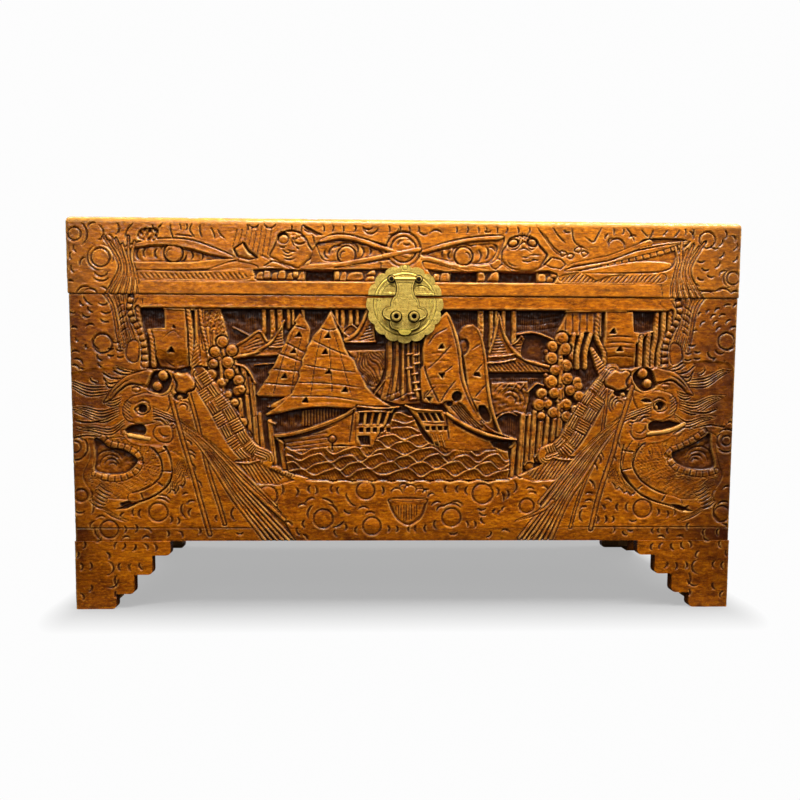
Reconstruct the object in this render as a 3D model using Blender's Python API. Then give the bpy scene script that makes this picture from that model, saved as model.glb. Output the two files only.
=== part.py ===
"""Camphor-wood chest: a board carcass on stepped bracket feet, a hinged lid, and a brass hasp and lid stay.

Metres, +Z up. The origin is on the floor at the middle of the lid's footprint, the front faces -Y,
and +X is to the right of someone who stands in front. Outlines across the depth are (y, z) pairs,
outlines seen from the front are (x, z), and outlines seen from above are (x, y).
"""

import math

import bmesh
import bpy
from mathutils import Matrix, Vector

# Overall sizes
LID_WIDTH = 1.016
LID_DEPTH = 0.508
OVERHANG = 0.0015  # lid and feet stand this far proud of the body, at the front and the sides
FOOT_HEIGHT = 0.106
BODY_HEIGHT = 0.374
LID_HEIGHT = 0.1135
SEAM = 0.0005  # open joint between body and lid
GAP = 0.0003  # clearance between pieces that touch

# Boards
WALL = 0.020
BOTTOM_THICKNESS = 0.018
TOP_THICKNESS = 0.019
TOP_EDGE_RADIUS = 0.0095

# Half-blind dovetails at the corners
TAILS_PER_BOARD = 2
PIN_WIDTH = 0.020  # wood between the tips of two tails
TAIL_SLOPE = 1 / 7
LAP = 0.005  # wood left over the ends of the tails

# Stepped bracket feet
FOOT_LENGTH = 0.146  # along the top
FOOT_THICKNESS = 0.020
FOOT_BASE_LENGTH = 0.062  # along the floor
FOOT_BASE_HEIGHT = 0.0235  # of the lowest block
TOP_STEP_HEIGHT = 0.0225
STEP_COUNT = 3
STEP_RADIUS = 0.0065
BLOCK_SIZE = 0.042  # glue block behind each foot
BLOCK_CLEARANCE = 0.012  # from the floor to the glue block

# Brass lock: a scalloped round plate in two halves, a hasp on a bar, and two posts
LOCK_X = -0.004
LOCK_DROP = 0.0125  # from the top of the body down to the plate's middle
PLATE_RADIUS = 0.0545
PLATE_THICKNESS = 0.0012
LOBES = 16
LOBE_DEPTH = 0.004
LOBE_POINTS = 6
PLATE_DROP = 0.0035  # from the top of the body down to the lower plate
BAR_RISE = 0.0372  # from the plate's middle up to the bar
BAR_RADIUS = 0.0013
BARREL_RADIUS = 0.0024
BARREL_PLAY = 0.0006  # between the hasp's barrel and each eye
EYE_SPACING = 0.041
EYE_RADIUS = 0.0034  # to the middle of the wire
NAIL_RADIUS = 0.0013
NAIL_HEAD_RADIUS = 0.0027
NAIL_HEAD_THICKNESS = 0.001
NAIL_LENGTH = 0.015  # below the head
HASP_THICKNESS = 0.0012
HASP_WIDTH = 0.067
HASP_LENGTH = 0.0835  # from the bar down to the end of the finger tab
POST_DROP = 0.0562  # from the bar down to the posts
POST_SPACING = 0.0267
POST_RADIUS = 0.007
POST_BORE_RADIUS = 0.0038
POST_REACH = 0.010  # in front of the hasp
POST_FLOOR = 0.002  # solid end of the post's bore
SHANK_RADIUS = 0.0035
SHANK_LENGTH = 0.014
CROSS_HOLE_RADIUS = 0.0033  # for the bar of a padlock
CROSS_HOLE_SETBACK = 0.0052  # from the post's front end to the hole's middle
HASP_HOLE_RADIUS = 0.009

# Butt hinges
HINGE_SPACING = 0.620
HINGE_LENGTH = 0.064
KNUCKLES = 5
KNUCKLE_RADIUS = 0.004
PIN_RADIUS = 0.002
PIN_HEAD_RADIUS = 0.003
PIN_HEAD_THICKNESS = 0.0016
PIN_CLEARANCE = 0.0003
LEAF_THICKNESS = 0.0016
LEAF_WIDTH = 0.0165

# Slotted lid stay, inside the right wall
STAY_REACH = 0.160  # from the hinge axis to each stud
STAY_RISE = 0.030  # of each stud above or below the hinge axis
STAY_WIDTH = 0.014
STAY_THICKNESS = 0.002
STUD_RADIUS = 0.003
STUD_CLEARANCE = 0.0003
STUD_HEAD_RADIUS = 0.0055
STUD_HEAD_THICKNESS = 0.002
STUD_COLLAR_RADIUS = 0.005
STAY_PLATE_WIDTH = 0.024
STAY_PLATE_HEIGHT = 0.034
STAY_PLATE_THICKNESS = 0.002
STAY_OFFSET = 0.0025  # from a plate to the arm
LID_OPENING = math.radians(98)

# Places worked out from the sizes
LID_FRONT = -LID_DEPTH / 2
BACK = LID_DEPTH / 2
LID_SIDE = LID_WIDTH / 2
BODY_FRONT = LID_FRONT + OVERHANG
BODY_SIDE = LID_SIDE - OVERHANG
WALL_BASE = FOOT_HEIGHT + BOTTOM_THICKNESS
BODY_TOP = FOOT_HEIGHT + BODY_HEIGHT
LID_BASE = BODY_TOP + SEAM
LID_TOP = LID_BASE + LID_HEIGHT
RIM_TOP = LID_TOP - TOP_THICKNESS
HINGE_Y = BACK + KNUCKLE_RADIUS + GAP
HINGE_Z = BODY_TOP + SEAM / 2
LOCK_HEIGHT = BODY_TOP - LOCK_DROP
BAR_HEIGHT = LOCK_HEIGHT + BAR_RISE
POST_HEIGHT = BAR_HEIGHT - POST_DROP
BAR_Y = LID_FRONT - 2 * GAP - PLATE_THICKNESS - BARREL_RADIUS  # the barrel just clears the plate
BARREL_LENGTH = EYE_SPACING - 2 * (EYE_RADIUS + BAR_RADIUS + BARREL_PLAY)
STEP_RUN = (FOOT_LENGTH - FOOT_BASE_LENGTH) / STEP_COUNT
STEP_RISE = (FOOT_HEIGHT - FOOT_BASE_HEIGHT - TOP_STEP_HEIGHT) / max(STEP_COUNT - 1, 1)
STUD_Y = HINGE_Y - math.sqrt(STAY_REACH**2 - STAY_RISE**2)  # both studs, as far from the hinge axis
ARM_OUTER = BODY_SIDE - WALL - GAP - STAY_PLATE_THICKNESS - STAY_OFFSET
ARM_INNER = ARM_OUTER - STAY_THICKNESS
ROUND = 24  # sides of a small round piece

CAMPHOR = ((0.30, 0.105, 0.022), 0.32, 0.0)
PALE_CAMPHOR = ((0.42, 0.24, 0.11), 0.6, 0.0)
BRASS = ((0.60, 0.42, 0.12), 0.35, 1.0)
STEEL = ((0.30, 0.29, 0.27), 0.4, 1.0)
THIRDS = ("lower", "middle", "upper")
STRIPS = ("front", "middle", "back")


def clear_scene():
    for old in list(bpy.data.objects):
        bpy.data.objects.remove(old)


def solid(name, mesh_maker):
    """An object whose mesh is filled by mesh_maker, with its faces turned outwards."""
    bm = bmesh.new()
    mesh_maker(bm)
    bmesh.ops.remove_doubles(bm, verts=bm.verts, dist=1e-6)
    bmesh.ops.recalc_face_normals(bm, faces=bm.faces)
    mesh = bpy.data.meshes.new(name)
    bm.to_mesh(mesh)
    bm.free()
    obj = bpy.data.objects.new(name, mesh)
    bpy.context.scene.collection.objects.link(obj)
    return obj


def extrude_outline(bm, outline, axis, low, high):
    """Adds a prism: the outline, at both ends of its length along an axis."""
    spots = {
        "X": lambda p, along: (along, p[0], p[1]),
        "Y": lambda p, along: (p[0], along, p[1]),
        "Z": lambda p, along: (p[0], p[1], along),
    }
    rings = [[bm.verts.new(spots[axis](p, along)) for p in outline] for along in (low, high)]
    bm.faces.new(rings[0])
    bm.faces.new(rings[1][::-1])
    for i in range(len(outline)):
        j = (i + 1) % len(outline)
        bm.faces.new((rings[0][i], rings[0][j], rings[1][j], rings[1][i]))


def prism(name, outline, axis, low, high):
    return solid(name, lambda bm: extrude_outline(bm, outline, axis, low, high))


def box(name, low, high):
    outline = [(low[0], low[1]), (high[0], low[1]), (high[0], high[1]), (low[0], high[1])]
    return prism(name, outline, "Z", low[2], high[2])


def circle(centre, radius, sides=ROUND):
    """Points round a circle whose flats touch the radius at the sides' corners."""
    turns = [2 * math.pi * (i + 0.5) / sides for i in range(sides)]
    return [(centre[0] + radius * math.cos(t), centre[1] + radius * math.sin(t)) for t in turns]


def arc(centre, radius, start, end, steps):
    """Points along an arc between two angles in degrees, both ends included."""
    turns = [math.radians(start + (end - start) * i / steps) for i in range(steps + 1)]
    return [(centre[0] + radius * math.cos(t), centre[1] + radius * math.sin(t)) for t in turns]


def rod(name, axis, centre, radius, low, high):
    return prism(name, circle(centre, radius), axis, low, high)


def boolean(target, tool, operation):
    """Joins the tool to the target or cuts it away, and hides the tool."""
    change = target.modifiers.new(tool.name, "BOOLEAN")
    change.operation = operation
    change.object = tool
    tool.hide_render = True
    tool.display_type = "WIRE"


def cut(target, tool):
    boolean(target, tool, "DIFFERENCE")


def join(target, tool):
    boolean(target, tool, "UNION")


def finish(obj, look, smooth=False):
    """Gives the piece a material of its own, and rounds its shading where it is turned."""
    colour, roughness, metallic = look
    material = bpy.data.materials.new(obj.name)
    material.use_nodes = True
    shader = material.node_tree.nodes["Principled BSDF"]
    shader.inputs["Base Color"].default_value = (*colour, 1)
    shader.inputs["Roughness"].default_value = roughness
    shader.inputs["Metallic"].default_value = metallic
    obj.data.materials.append(material)
    if smooth:
        obj.data.shade_smooth()
        obj.data.set_sharp_from_angle(angle=math.radians(40))
    return obj


def settle(obj, parent, origin=None):
    """Moves the object's origin to a point, its own middle unless one is given, and hangs it on a parent."""
    if origin is None:
        corners = [Vector(corner) for corner in obj.bound_box]
        origin = sum(corners, Vector()) / len(corners)
    obj.data.transform(Matrix.Translation(-Vector(origin)))
    obj.parent = parent
    obj.location = Vector(origin) - parent.location
    return obj


def pivot(name, place):
    """An empty on a joint's axis, which carries the pieces that turn about it."""
    empty = bpy.data.objects.new(name, None)
    bpy.context.scene.collection.objects.link(empty)
    empty.location = place
    empty["joint_axis"] = (-1.0, 0.0, 0.0)
    return empty


def spans(low, high, count):
    """Equal lengths between two ends, with the clearance left between neighbours."""
    pitch = (high - low + GAP) / count
    return [(low + i * pitch, low + (i + 1) * pitch - GAP) for i in range(count)]


# ---- boards and their dovetails


def tail_middles(low, high):
    """Heights of the middles of the tails on a board between two heights."""
    return [low + (high - low) * (i + 0.5) / TAILS_PER_BOARD for i in range(TAILS_PER_BOARD)]


def tail_half_width(low, high, from_tip):
    """Half the width of a tail on that board, at a distance from its tip."""
    tip = ((high - low) / TAILS_PER_BOARD - PIN_WIDTH) / 2
    return tip - TAIL_SLOPE * from_tip


def side_outline(low, high, front, back):
    """A side board as (y, z): shoulders between front and back walls, with tails into both."""
    tip = tail_half_width(low, high, 0)
    root = tail_half_width(low, high, WALL - LAP)
    middles = tail_middles(low, high)
    outline = []
    for face, inward, heights in ((front, 1, middles[::-1]), (back, -1, middles)):
        shoulder, tip_y = face + inward * (WALL + GAP), face + inward * (LAP + GAP)
        start, end = (high, low) if inward == 1 else (low, high)
        outline.append((shoulder, start))
        for middle in heights:
            outline += [
                (shoulder, middle + inward * root),
                (tip_y, middle + inward * tip),
                (tip_y, middle - inward * tip),
                (shoulder, middle - inward * root),
            ]
        outline.append((shoulder, end))
    return outline


def side_board(name, low, high, front, back, side, parent):
    """A board of a left or right wall: side is its outer face's x, negative on the left."""
    inner = side - math.copysign(WALL, side)
    board = prism(name, side_outline(low, high, front, back), "X", min(side, inner), max(side, inner))
    return settle(finish(board, CAMPHOR), parent)


def socket_cutter(name, low, high, face, inward, side):
    """The sockets for one end of a front or back board. face is its outer face; inward is +1 in front."""
    deep, mouth = face + inward * LAP, face + inward * (WALL + GAP)
    wide = tail_half_width(low, high, -GAP) + GAP
    narrow = tail_half_width(low, high, WALL - LAP) + GAP
    inner = side - math.copysign(WALL + GAP, side)
    outer = side + math.copysign(GAP, side)

    def shape(bm):
        for middle in tail_middles(low, high):
            outline = [
                (deep, middle - wide),
                (mouth, middle - narrow),
                (mouth, middle + narrow),
                (deep, middle + wide),
            ]
            extrude_outline(bm, outline, "X", min(inner, outer), max(inner, outer))

    return solid(name, shape)


def long_board(name, low, high, face, inward, half_width, parent):
    """A board of a front or back wall, with sockets in both ends."""
    inner = face + inward * WALL
    board = box(name, (-half_width, min(face, inner), low), (half_width, max(face, inner), high))
    for end, side in (("left", -half_width), ("right", half_width)):
        cut(board, socket_cutter(f"{name}_{end}_sockets", low, high, face, inward, side))
    return settle(finish(board, CAMPHOR), parent)


def make_walls(parent):
    boards = {}
    for third, (low, high) in zip(THIRDS, spans(WALL_BASE + GAP, BODY_TOP, len(THIRDS))):
        for wall, face, inward in (("front", BODY_FRONT, 1), ("back", BACK, -1)):
            name = f"{wall}_board_{third}"
            boards[name] = long_board(name, low, high, face, inward, BODY_SIDE, parent)
        for wall, side in (("left", -BODY_SIDE), ("right", BODY_SIDE)):
            side_board(f"{wall}_board_{third}", low, high, BODY_FRONT, BACK, side, parent)
    return boards


def make_bottom(parent):
    for strip, (low, high) in zip(STRIPS, spans(BODY_FRONT, BACK, len(STRIPS))):
        board = box(
            f"bottom_board_{strip}",
            (-BODY_SIDE, low, FOOT_HEIGHT),
            (BODY_SIDE, high, WALL_BASE),
        )
        settle(finish(board, PALE_CAMPHOR), parent)


def make_lid_rims(parent):
    rims = {}
    low, high = LID_BASE, RIM_TOP - GAP
    for rim, face, inward in (("front", LID_FRONT, 1), ("back", BACK, -1)):
        name = f"lid_rim_{rim}"
        rims[name] = long_board(name, low, high, face, inward, LID_SIDE, parent)
    for rim, side in (("left", -LID_SIDE), ("right", LID_SIDE)):
        side_board(f"lid_rim_{rim}", low, high, LID_FRONT, BACK, side, parent)
    return rims


def rounded_edges(board, keep):
    """Bevels the board's top edges whose middles pass the test, as a rounded nosing."""
    bm = bmesh.new()
    bm.from_mesh(board.data)
    edges = [e for e in bm.edges if keep((e.verts[0].co + e.verts[1].co) / 2)]
    radius = min(TOP_EDGE_RADIUS, TOP_THICKNESS / 2)
    bmesh.ops.bevel(bm, geom=edges, offset=radius, segments=3, profile=0.5, affect="EDGES")
    bm.to_mesh(board.data)
    bm.free()


def make_lid_top(parent):
    """Three boards glued edge to edge, rounded over where they meet the outside."""
    near = GAP / 2
    for strip, (low, high) in zip(STRIPS, spans(LID_FRONT, BACK, len(STRIPS))):
        board = box(f"lid_top_board_{strip}", (-LID_SIDE, low, RIM_TOP), (LID_SIDE, high, LID_TOP))

        def outside(middle):
            on_top = middle.z > LID_TOP - near
            return on_top and (abs(middle.x) > LID_SIDE - near or abs(middle.y) > BACK - near)

        rounded_edges(board, outside)
        settle(finish(board, CAMPHOR), parent)


# ---- feet


def foot_outline():
    """The stepped face of a foot from its outer corner, as (distance from the corner, z)."""
    top = FOOT_HEIGHT - GAP
    outline = [(0, 0)]
    for step in range(STEP_COUNT + 1):
        length = FOOT_BASE_LENGTH + step * STEP_RUN
        low = FOOT_BASE_HEIGHT + (step - 1) * STEP_RISE if step else 0
        outline += arc((length - STEP_RADIUS, low + STEP_RADIUS), STEP_RADIUS, -90, 0, 3)
        if step < STEP_COUNT:
            outline.append((length, FOOT_BASE_HEIGHT + step * STEP_RISE))
    return outline + [(FOOT_LENGTH, top), (0, top)]


def mitre(board, along, corner, slope):
    """Slides the inner points of a foot's outer end, to cut that end at 45 degrees."""
    across = 1 - along
    for vertex in board.data.vertices:
        if abs(vertex.co[along] - corner[along]) < GAP / 2:
            vertex.co[along] -= slope * abs(vertex.co[across] - corner[across])


def foot_bracket(name, corner, inward, along, parent):
    """One bracket of a foot. along is 0 for a bracket that runs along X, and 1 for one along Y."""
    start = list(corner)
    start[along] += inward[along] * (GAP * math.sqrt(2) if along else 0)
    across = 1 - along
    thick = sorted((corner[across], corner[across] + inward[across] * FOOT_THICKNESS))
    outline = [(start[along] + inward[along] * length, z) for length, z in foot_outline()]
    board = prism(name, outline, "XY"[across], *thick)
    mitre(board, along, start, -inward[along])
    return settle(finish(board, CAMPHOR), parent)


def make_feet(parent):
    """Four corner feet, each of two mitred brackets and a glue block."""
    for depth, corner_y, inward_y in (("front", LID_FRONT, 1), ("back", BACK, -1)):
        for side, corner_x, inward_x in (("left", -LID_SIDE, 1), ("right", LID_SIDE, -1)):
            corner, inward = (corner_x, corner_y), (inward_x, inward_y)
            place = f"{depth}_{side}"
            foot_bracket(f"foot_{place}_face_bracket", corner, inward, 0, parent)
            foot_bracket(f"foot_{place}_side_bracket", corner, inward, 1, parent)
            near = FOOT_THICKNESS + GAP
            far = near + BLOCK_SIZE
            chamfer = BLOCK_SIZE / 2
            outline = [(near, near), (far, near), (far, far - chamfer), (far - chamfer, far), (near, far)]
            outline = [(corner_x + inward_x * x, corner_y + inward_y * y) for x, y in outline]
            block = prism(f"glue_block_{place}", outline, "Z", BLOCK_CLEARANCE, FOOT_HEIGHT - GAP)
            settle(finish(block, PALE_CAMPHOR), parent)


# ---- lock


def scalloped(low, high):
    """The round plate's lobed edge between two heights, closed straight across where it is cut."""
    count = LOBES * LOBE_POINTS
    points = []
    for i in range(count):
        turn = 2 * math.pi * i / count - math.pi / 2
        radius = PLATE_RADIUS + LOBE_DEPTH * abs(math.cos(LOBES / 2 * (turn + math.pi / 2))) ** 0.6
        points.append((LOCK_X + radius * math.cos(turn), LOCK_HEIGHT + radius * math.sin(turn)))
    inside = [low < z < high for _, z in points]
    first = next(i for i in range(count) if inside[i] and not inside[i - 1])
    kept = [points[(first + i) % count] for i in range(sum(inside))]
    edge = high if high < LOCK_HEIGHT + PLATE_RADIUS else low
    return kept + [(kept[-1][0], edge), (kept[0][0], edge)]


def make_lock_plates(body, lid):
    """The upper plate on the lid and the lower one on the body, each with holes for what passes through."""
    beyond = LOCK_HEIGHT + 2 * PLATE_RADIUS
    upper_front = LID_FRONT - GAP - PLATE_THICKNESS
    upper = prism("lock_plate_upper", scalloped(LID_BASE, beyond), "Y", upper_front, LID_FRONT - GAP)
    cut(upper, nail_holes("lock_plate_upper_holes", upper_front - GAP, LID_FRONT))
    settle(finish(upper, BRASS), lid)

    lower_front = BODY_FRONT - GAP - PLATE_THICKNESS
    outline = scalloped(-beyond, BODY_TOP - PLATE_DROP)
    lower = prism("lock_plate_lower", outline, "Y", lower_front, BODY_FRONT - GAP)
    cut(lower, shank_holes("lock_plate_lower_holes", lower_front - GAP, BODY_FRONT))
    settle(finish(lower, BRASS), body)


def holes(name, spots, radius, near, far):
    """A cutter of round holes along Y at (x, z) spots."""

    def shape(bm):
        for spot in spots:
            extrude_outline(bm, circle(spot, radius), "Y", near, far)

    return solid(name, shape)


def eye_spots():
    return [(LOCK_X + side * EYE_SPACING / 2, BAR_HEIGHT) for side in (-1, 1)]


def post_spots():
    return [(LOCK_X + side * POST_SPACING / 2, POST_HEIGHT) for side in (-1, 1)]


def nail_holes(name, near, far):
    return holes(name, eye_spots(), NAIL_RADIUS + GAP, near, far)


def shank_holes(name, near, far):
    return holes(name, post_spots(), SHANK_RADIUS + GAP, near, far)


def ring(bm, centre, radius, thickness, sides):
    """Adds a round ring of round wire that faces the front."""
    rows = []
    for i in range(sides):
        turn = 2 * math.pi * i / sides
        row = []
        for across, out in circle((0, 0), thickness, 8):
            reach = radius + across
            row.append(
                bm.verts.new(
                    (centre[0] + reach * math.cos(turn), centre[1] + out, centre[2] + reach * math.sin(turn))
                )
            )
        rows.append(row)
    for i in range(sides):
        for j in range(8):
            here, there, k = rows[i], rows[(i + 1) % sides], (j + 1) % 8
            bm.faces.new((here[j], here[k], there[k], there[j]))


def make_hasp_bar(lid):
    """The wire that the hasp turns on, curled into an eye at each end, and the nails through the eyes."""
    y = BAR_Y
    reach = EYE_SPACING / 2 - EYE_RADIUS
    bar = rod("hasp_bar", "X", (y, BAR_HEIGHT), BAR_RADIUS, LOCK_X - reach, LOCK_X + reach)
    for side, (x, z) in zip(("left", "right"), eye_spots()):
        eye = solid(
            f"hasp_bar_{side}_eye",
            lambda bm, x=x, z=z: ring(bm, (x, y, z), EYE_RADIUS, BAR_RADIUS, 20),
        )
        join(bar, eye)
        back = y - BAR_RADIUS - GAP
        front = back - NAIL_HEAD_THICKNESS
        name = f"hasp_nail_{side}"
        nail = rod(name, "Y", (x, z), NAIL_HEAD_RADIUS, front, back)
        join(nail, rod(f"{name}_shank", "Y", (x, z), NAIL_RADIUS, (front + back) / 2, back + NAIL_LENGTH))
        settle(finish(nail, BRASS, smooth=True), lid)
    settle(finish(bar, BRASS, smooth=True), lid)


def hasp_outline():
    """The hasp's edge, as (x, z): a waisted neck, then a lobed body that ends in a finger tab."""
    wide, long = HASP_WIDTH / 2, HASP_LENGTH
    neck = [(0.43, 0.04), (0.37, 0.13), (0.36, 0.20), (0.43, 0.30), (0.57, 0.36), (0.63, 0.43), (0.63, 0.49)]
    lobes = [(0.73, 0.61, 0.27, 90, -70), (0.43, 0.80, 0.25, 40, -80), (0.06, 0.904, 0.24, -10, -80)]
    half = [(BARREL_LENGTH / 2, 0)] + [(wide * across, long * down) for across, down in neck]
    for across, down, size, start, end in lobes:
        for x, z in arc((wide * across, -long * down), wide * size, start, end, 5):
            half.append((x, min(-z, long)))
    right = [(LOCK_X + x, BAR_HEIGHT - down) for x, down in half]
    left = [(LOCK_X - x, BAR_HEIGHT - down) for x, down in half[::-1]]
    return right + left


def make_hasp(parent):
    y = BAR_Y
    hasp = prism("hasp", hasp_outline(), "Y", y - HASP_THICKNESS, y)
    low, high = LOCK_X - BARREL_LENGTH / 2, LOCK_X + BARREL_LENGTH / 2
    join(hasp, rod("hasp_barrel", "X", (y, BAR_HEIGHT), BARREL_RADIUS, low, high))
    cut(hasp, rod("hasp_bore", "X", (y, BAR_HEIGHT), BAR_RADIUS + GAP, low - GAP, high + GAP))
    near, far = y - 2 * HASP_THICKNESS, y + HASP_THICKNESS
    cut(hasp, holes("hasp_holes", post_spots(), HASP_HOLE_RADIUS, near, far))
    settle(finish(hasp, BRASS, smooth=True), parent, parent.location)


def make_posts(body):
    """Hollow posts that stand through the hasp's holes, cross-drilled for a padlock's bar."""
    plate_front = BODY_FRONT - GAP - PLATE_THICKNESS
    back = plate_front - GAP
    front = BAR_Y - HASP_THICKNESS - POST_REACH
    cross_y = front + CROSS_HOLE_SETBACK
    for side, (x, z) in zip(("left", "right"), post_spots()):
        name = f"lock_post_{side}"
        post = rod(name, "Y", (x, z), POST_RADIUS, front, back)
        shank_end = BODY_FRONT + SHANK_LENGTH
        join(post, rod(f"{name}_shank", "Y", (x, z), SHANK_RADIUS, back - POST_FLOOR / 2, shank_end))
        cut(post, rod(f"{name}_bore", "Y", (x, z), POST_BORE_RADIUS, front - GAP, back - POST_FLOOR))
        through = POST_RADIUS + GAP
        cut(post, rod(f"{name}_cross_hole", "X", (cross_y, z), CROSS_HOLE_RADIUS, x - through, x + through))
        settle(finish(post, BRASS, smooth=True), body)


# ---- hinges


def knuckle_spans(middle):
    return spans(middle - HINGE_LENGTH / 2, middle + HINGE_LENGTH / 2, KNUCKLES)


def leaf(name, middle, up, first, parent):
    """A hinge leaf with every second knuckle: up is +1 for the lid's leaf and -1 for the body's."""
    near = HINGE_Z + up * SEAM / 2
    heights = sorted((near, near + up * LEAF_THICKNESS))
    low, high = middle - HINGE_LENGTH / 2, middle + HINGE_LENGTH / 2
    edge = HINGE_Y - KNUCKLE_RADIUS - GAP
    plate = box(name, (low, edge - LEAF_WIDTH, heights[0]), (high, edge, heights[1]))
    web_start = edge - LEAF_THICKNESS

    def webs(bm):
        for span in knuckle_spans(middle)[first::2]:
            outline = [
                (web_start, heights[0]),
                (HINGE_Y, heights[0]),
                (HINGE_Y, heights[1]),
                (web_start, heights[1]),
            ]
            extrude_outline(bm, outline, "X", *span)

    def knuckles(bm):
        for span in knuckle_spans(middle)[first::2]:
            extrude_outline(bm, circle((HINGE_Y, HINGE_Z), KNUCKLE_RADIUS), "X", *span)

    join(plate, solid(f"{name}_webs", webs))
    join(plate, solid(f"{name}_knuckles", knuckles))
    bore = PIN_RADIUS + PIN_CLEARANCE
    cut(plate, rod(f"{name}_bore", "X", (HINGE_Y, HINGE_Z), bore, low - GAP, high + GAP))
    return settle(finish(plate, BRASS, smooth=True), parent)


def leaf_mortise(name, middle, up):
    """The pocket for a leaf, open to the seam and to the back."""
    near = HINGE_Z
    far = HINGE_Z + up * (SEAM / 2 + LEAF_THICKNESS + GAP)
    heights = sorted((near, far))
    reach = HINGE_LENGTH / 2 + GAP
    start = BACK - LEAF_WIDTH - GAP
    return box(name, (middle - reach, start, heights[0]), (middle + reach, BACK + GAP, heights[1]))


def make_hinges(body, lid, wall, rim):
    for side, middle in (("left", -HINGE_SPACING / 2), ("right", HINGE_SPACING / 2)):
        leaf(f"hinge_{side}_body_leaf", middle, -1, 0, body)
        leaf(f"hinge_{side}_lid_leaf", middle, 1, 1, lid)
        cut(wall, leaf_mortise(f"hinge_{side}_body_mortise", middle, -1))
        cut(rim, leaf_mortise(f"hinge_{side}_lid_mortise", middle, 1))
        end = HINGE_LENGTH / 2 + GAP
        pin = rod(f"hinge_{side}_pin", "X", (HINGE_Y, HINGE_Z), PIN_RADIUS, middle - end, middle + end)

        def heads(bm, middle=middle, end=end):
            for way in (-1, 1):
                near, far = sorted((middle + way * end, middle + way * (end + PIN_HEAD_THICKNESS)))
                extrude_outline(bm, circle((HINGE_Y, HINGE_Z), PIN_HEAD_RADIUS), "X", near, far)

        join(pin, solid(f"hinge_{side}_pin_heads", heads))
        settle(finish(pin, BRASS, smooth=True), body)


# ---- lid stay


def stay_plate(name, wall_x, z, parent):
    """A plate on a side wall with a headed stud for the arm."""
    y = STUD_Y
    half_y, half_z = STAY_PLATE_WIDTH / 2, STAY_PLATE_HEIGHT / 2
    outer = wall_x - GAP
    inner = outer - STAY_PLATE_THICKNESS
    plate = box(name, (inner, y - half_y, z - half_z), (outer, y + half_y, z + half_z))
    head_outer = ARM_INNER - GAP
    middle = (inner + outer) / 2
    join(plate, rod(f"{name}_collar", "X", (y, z), STUD_COLLAR_RADIUS, ARM_OUTER + GAP, middle))
    head_inner = head_outer - STUD_HEAD_THICKNESS
    join(plate, rod(f"{name}_stud", "X", (y, z), STUD_RADIUS, (head_inner + head_outer) / 2, middle))
    join(plate, rod(f"{name}_head", "X", (y, z), STUD_HEAD_RADIUS, head_inner, head_outer))
    return settle(finish(plate, STEEL, smooth=True), parent)


def stay_travel():
    """Least and greatest distance between the studs, with the lid shut and with it open."""
    shut = 2 * math.asin(STAY_RISE / STAY_REACH)
    return [2 * STAY_REACH * math.sin((shut + turn) / 2) for turn in (0, LID_OPENING)]


def make_stay(body, lid, pivot_empty):
    """A slotted arm that turns on the lid's stud and slides over the body's, whose slot stops the lid."""
    body_z, lid_z = HINGE_Z - STAY_RISE, HINGE_Z + STAY_RISE
    stay_plate("stay_plate_body", BODY_SIDE - WALL, body_z, body)
    stay_plate("stay_plate_lid", LID_SIDE - WALL, lid_z, lid)
    near, far = stay_travel()
    half, hole = STAY_WIDTH / 2, STUD_RADIUS + STUD_CLEARANCE
    ends = arc((STUD_Y, lid_z), half, 0, 180, 8) + arc((STUD_Y, lid_z - far), half, 180, 360, 8)
    arm = prism("stay_arm", ends, "X", ARM_INNER, ARM_OUTER)
    low, high = ARM_INNER - GAP, ARM_OUTER + GAP
    cut(arm, rod("stay_arm_hole", "X", (STUD_Y, lid_z), hole, low, high))
    slot = arc((STUD_Y, lid_z - near), hole, 0, 180, 10) + arc((STUD_Y, lid_z - far), hole, 180, 360, 10)
    cut(arm, prism("stay_arm_slot", slot, "X", low, high))
    settle(finish(arm, STEEL), pivot_empty, pivot_empty.location)


def main():
    clear_scene()
    carcass = pivot("carcass", (0, 0, 0))
    lid = pivot("lid", (0, HINGE_Y, HINGE_Z))
    hasp_pivot = pivot("hasp_swing", (LOCK_X, BAR_Y, BAR_HEIGHT))
    stay_pivot = pivot("stay_pivot", (ARM_INNER, STUD_Y, HINGE_Z + STAY_RISE))

    walls = make_walls(carcass)
    make_bottom(carcass)
    make_feet(carcass)
    rims = make_lid_rims(lid)
    make_lid_top(lid)
    make_lock_plates(carcass, lid)
    make_hasp_bar(lid)
    make_hasp(hasp_pivot)
    make_posts(carcass)
    make_hinges(carcass, lid, walls["back_board_upper"], rims["lid_rim_back"])
    make_stay(carcass, lid, stay_pivot)

    nail_depth = LID_FRONT + NAIL_LENGTH
    cut(rims["lid_rim_front"], nail_holes("lid_rim_front_nail_holes", LID_FRONT - GAP, nail_depth))
    shank_depth = BODY_FRONT + SHANK_LENGTH + GAP
    cut(walls["front_board_upper"], shank_holes("front_board_shank_holes", BODY_FRONT - GAP, shank_depth))


main()
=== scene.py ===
import math

import bmesh
import bpy
import numpy as np
from mathutils import Matrix, Vector


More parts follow.
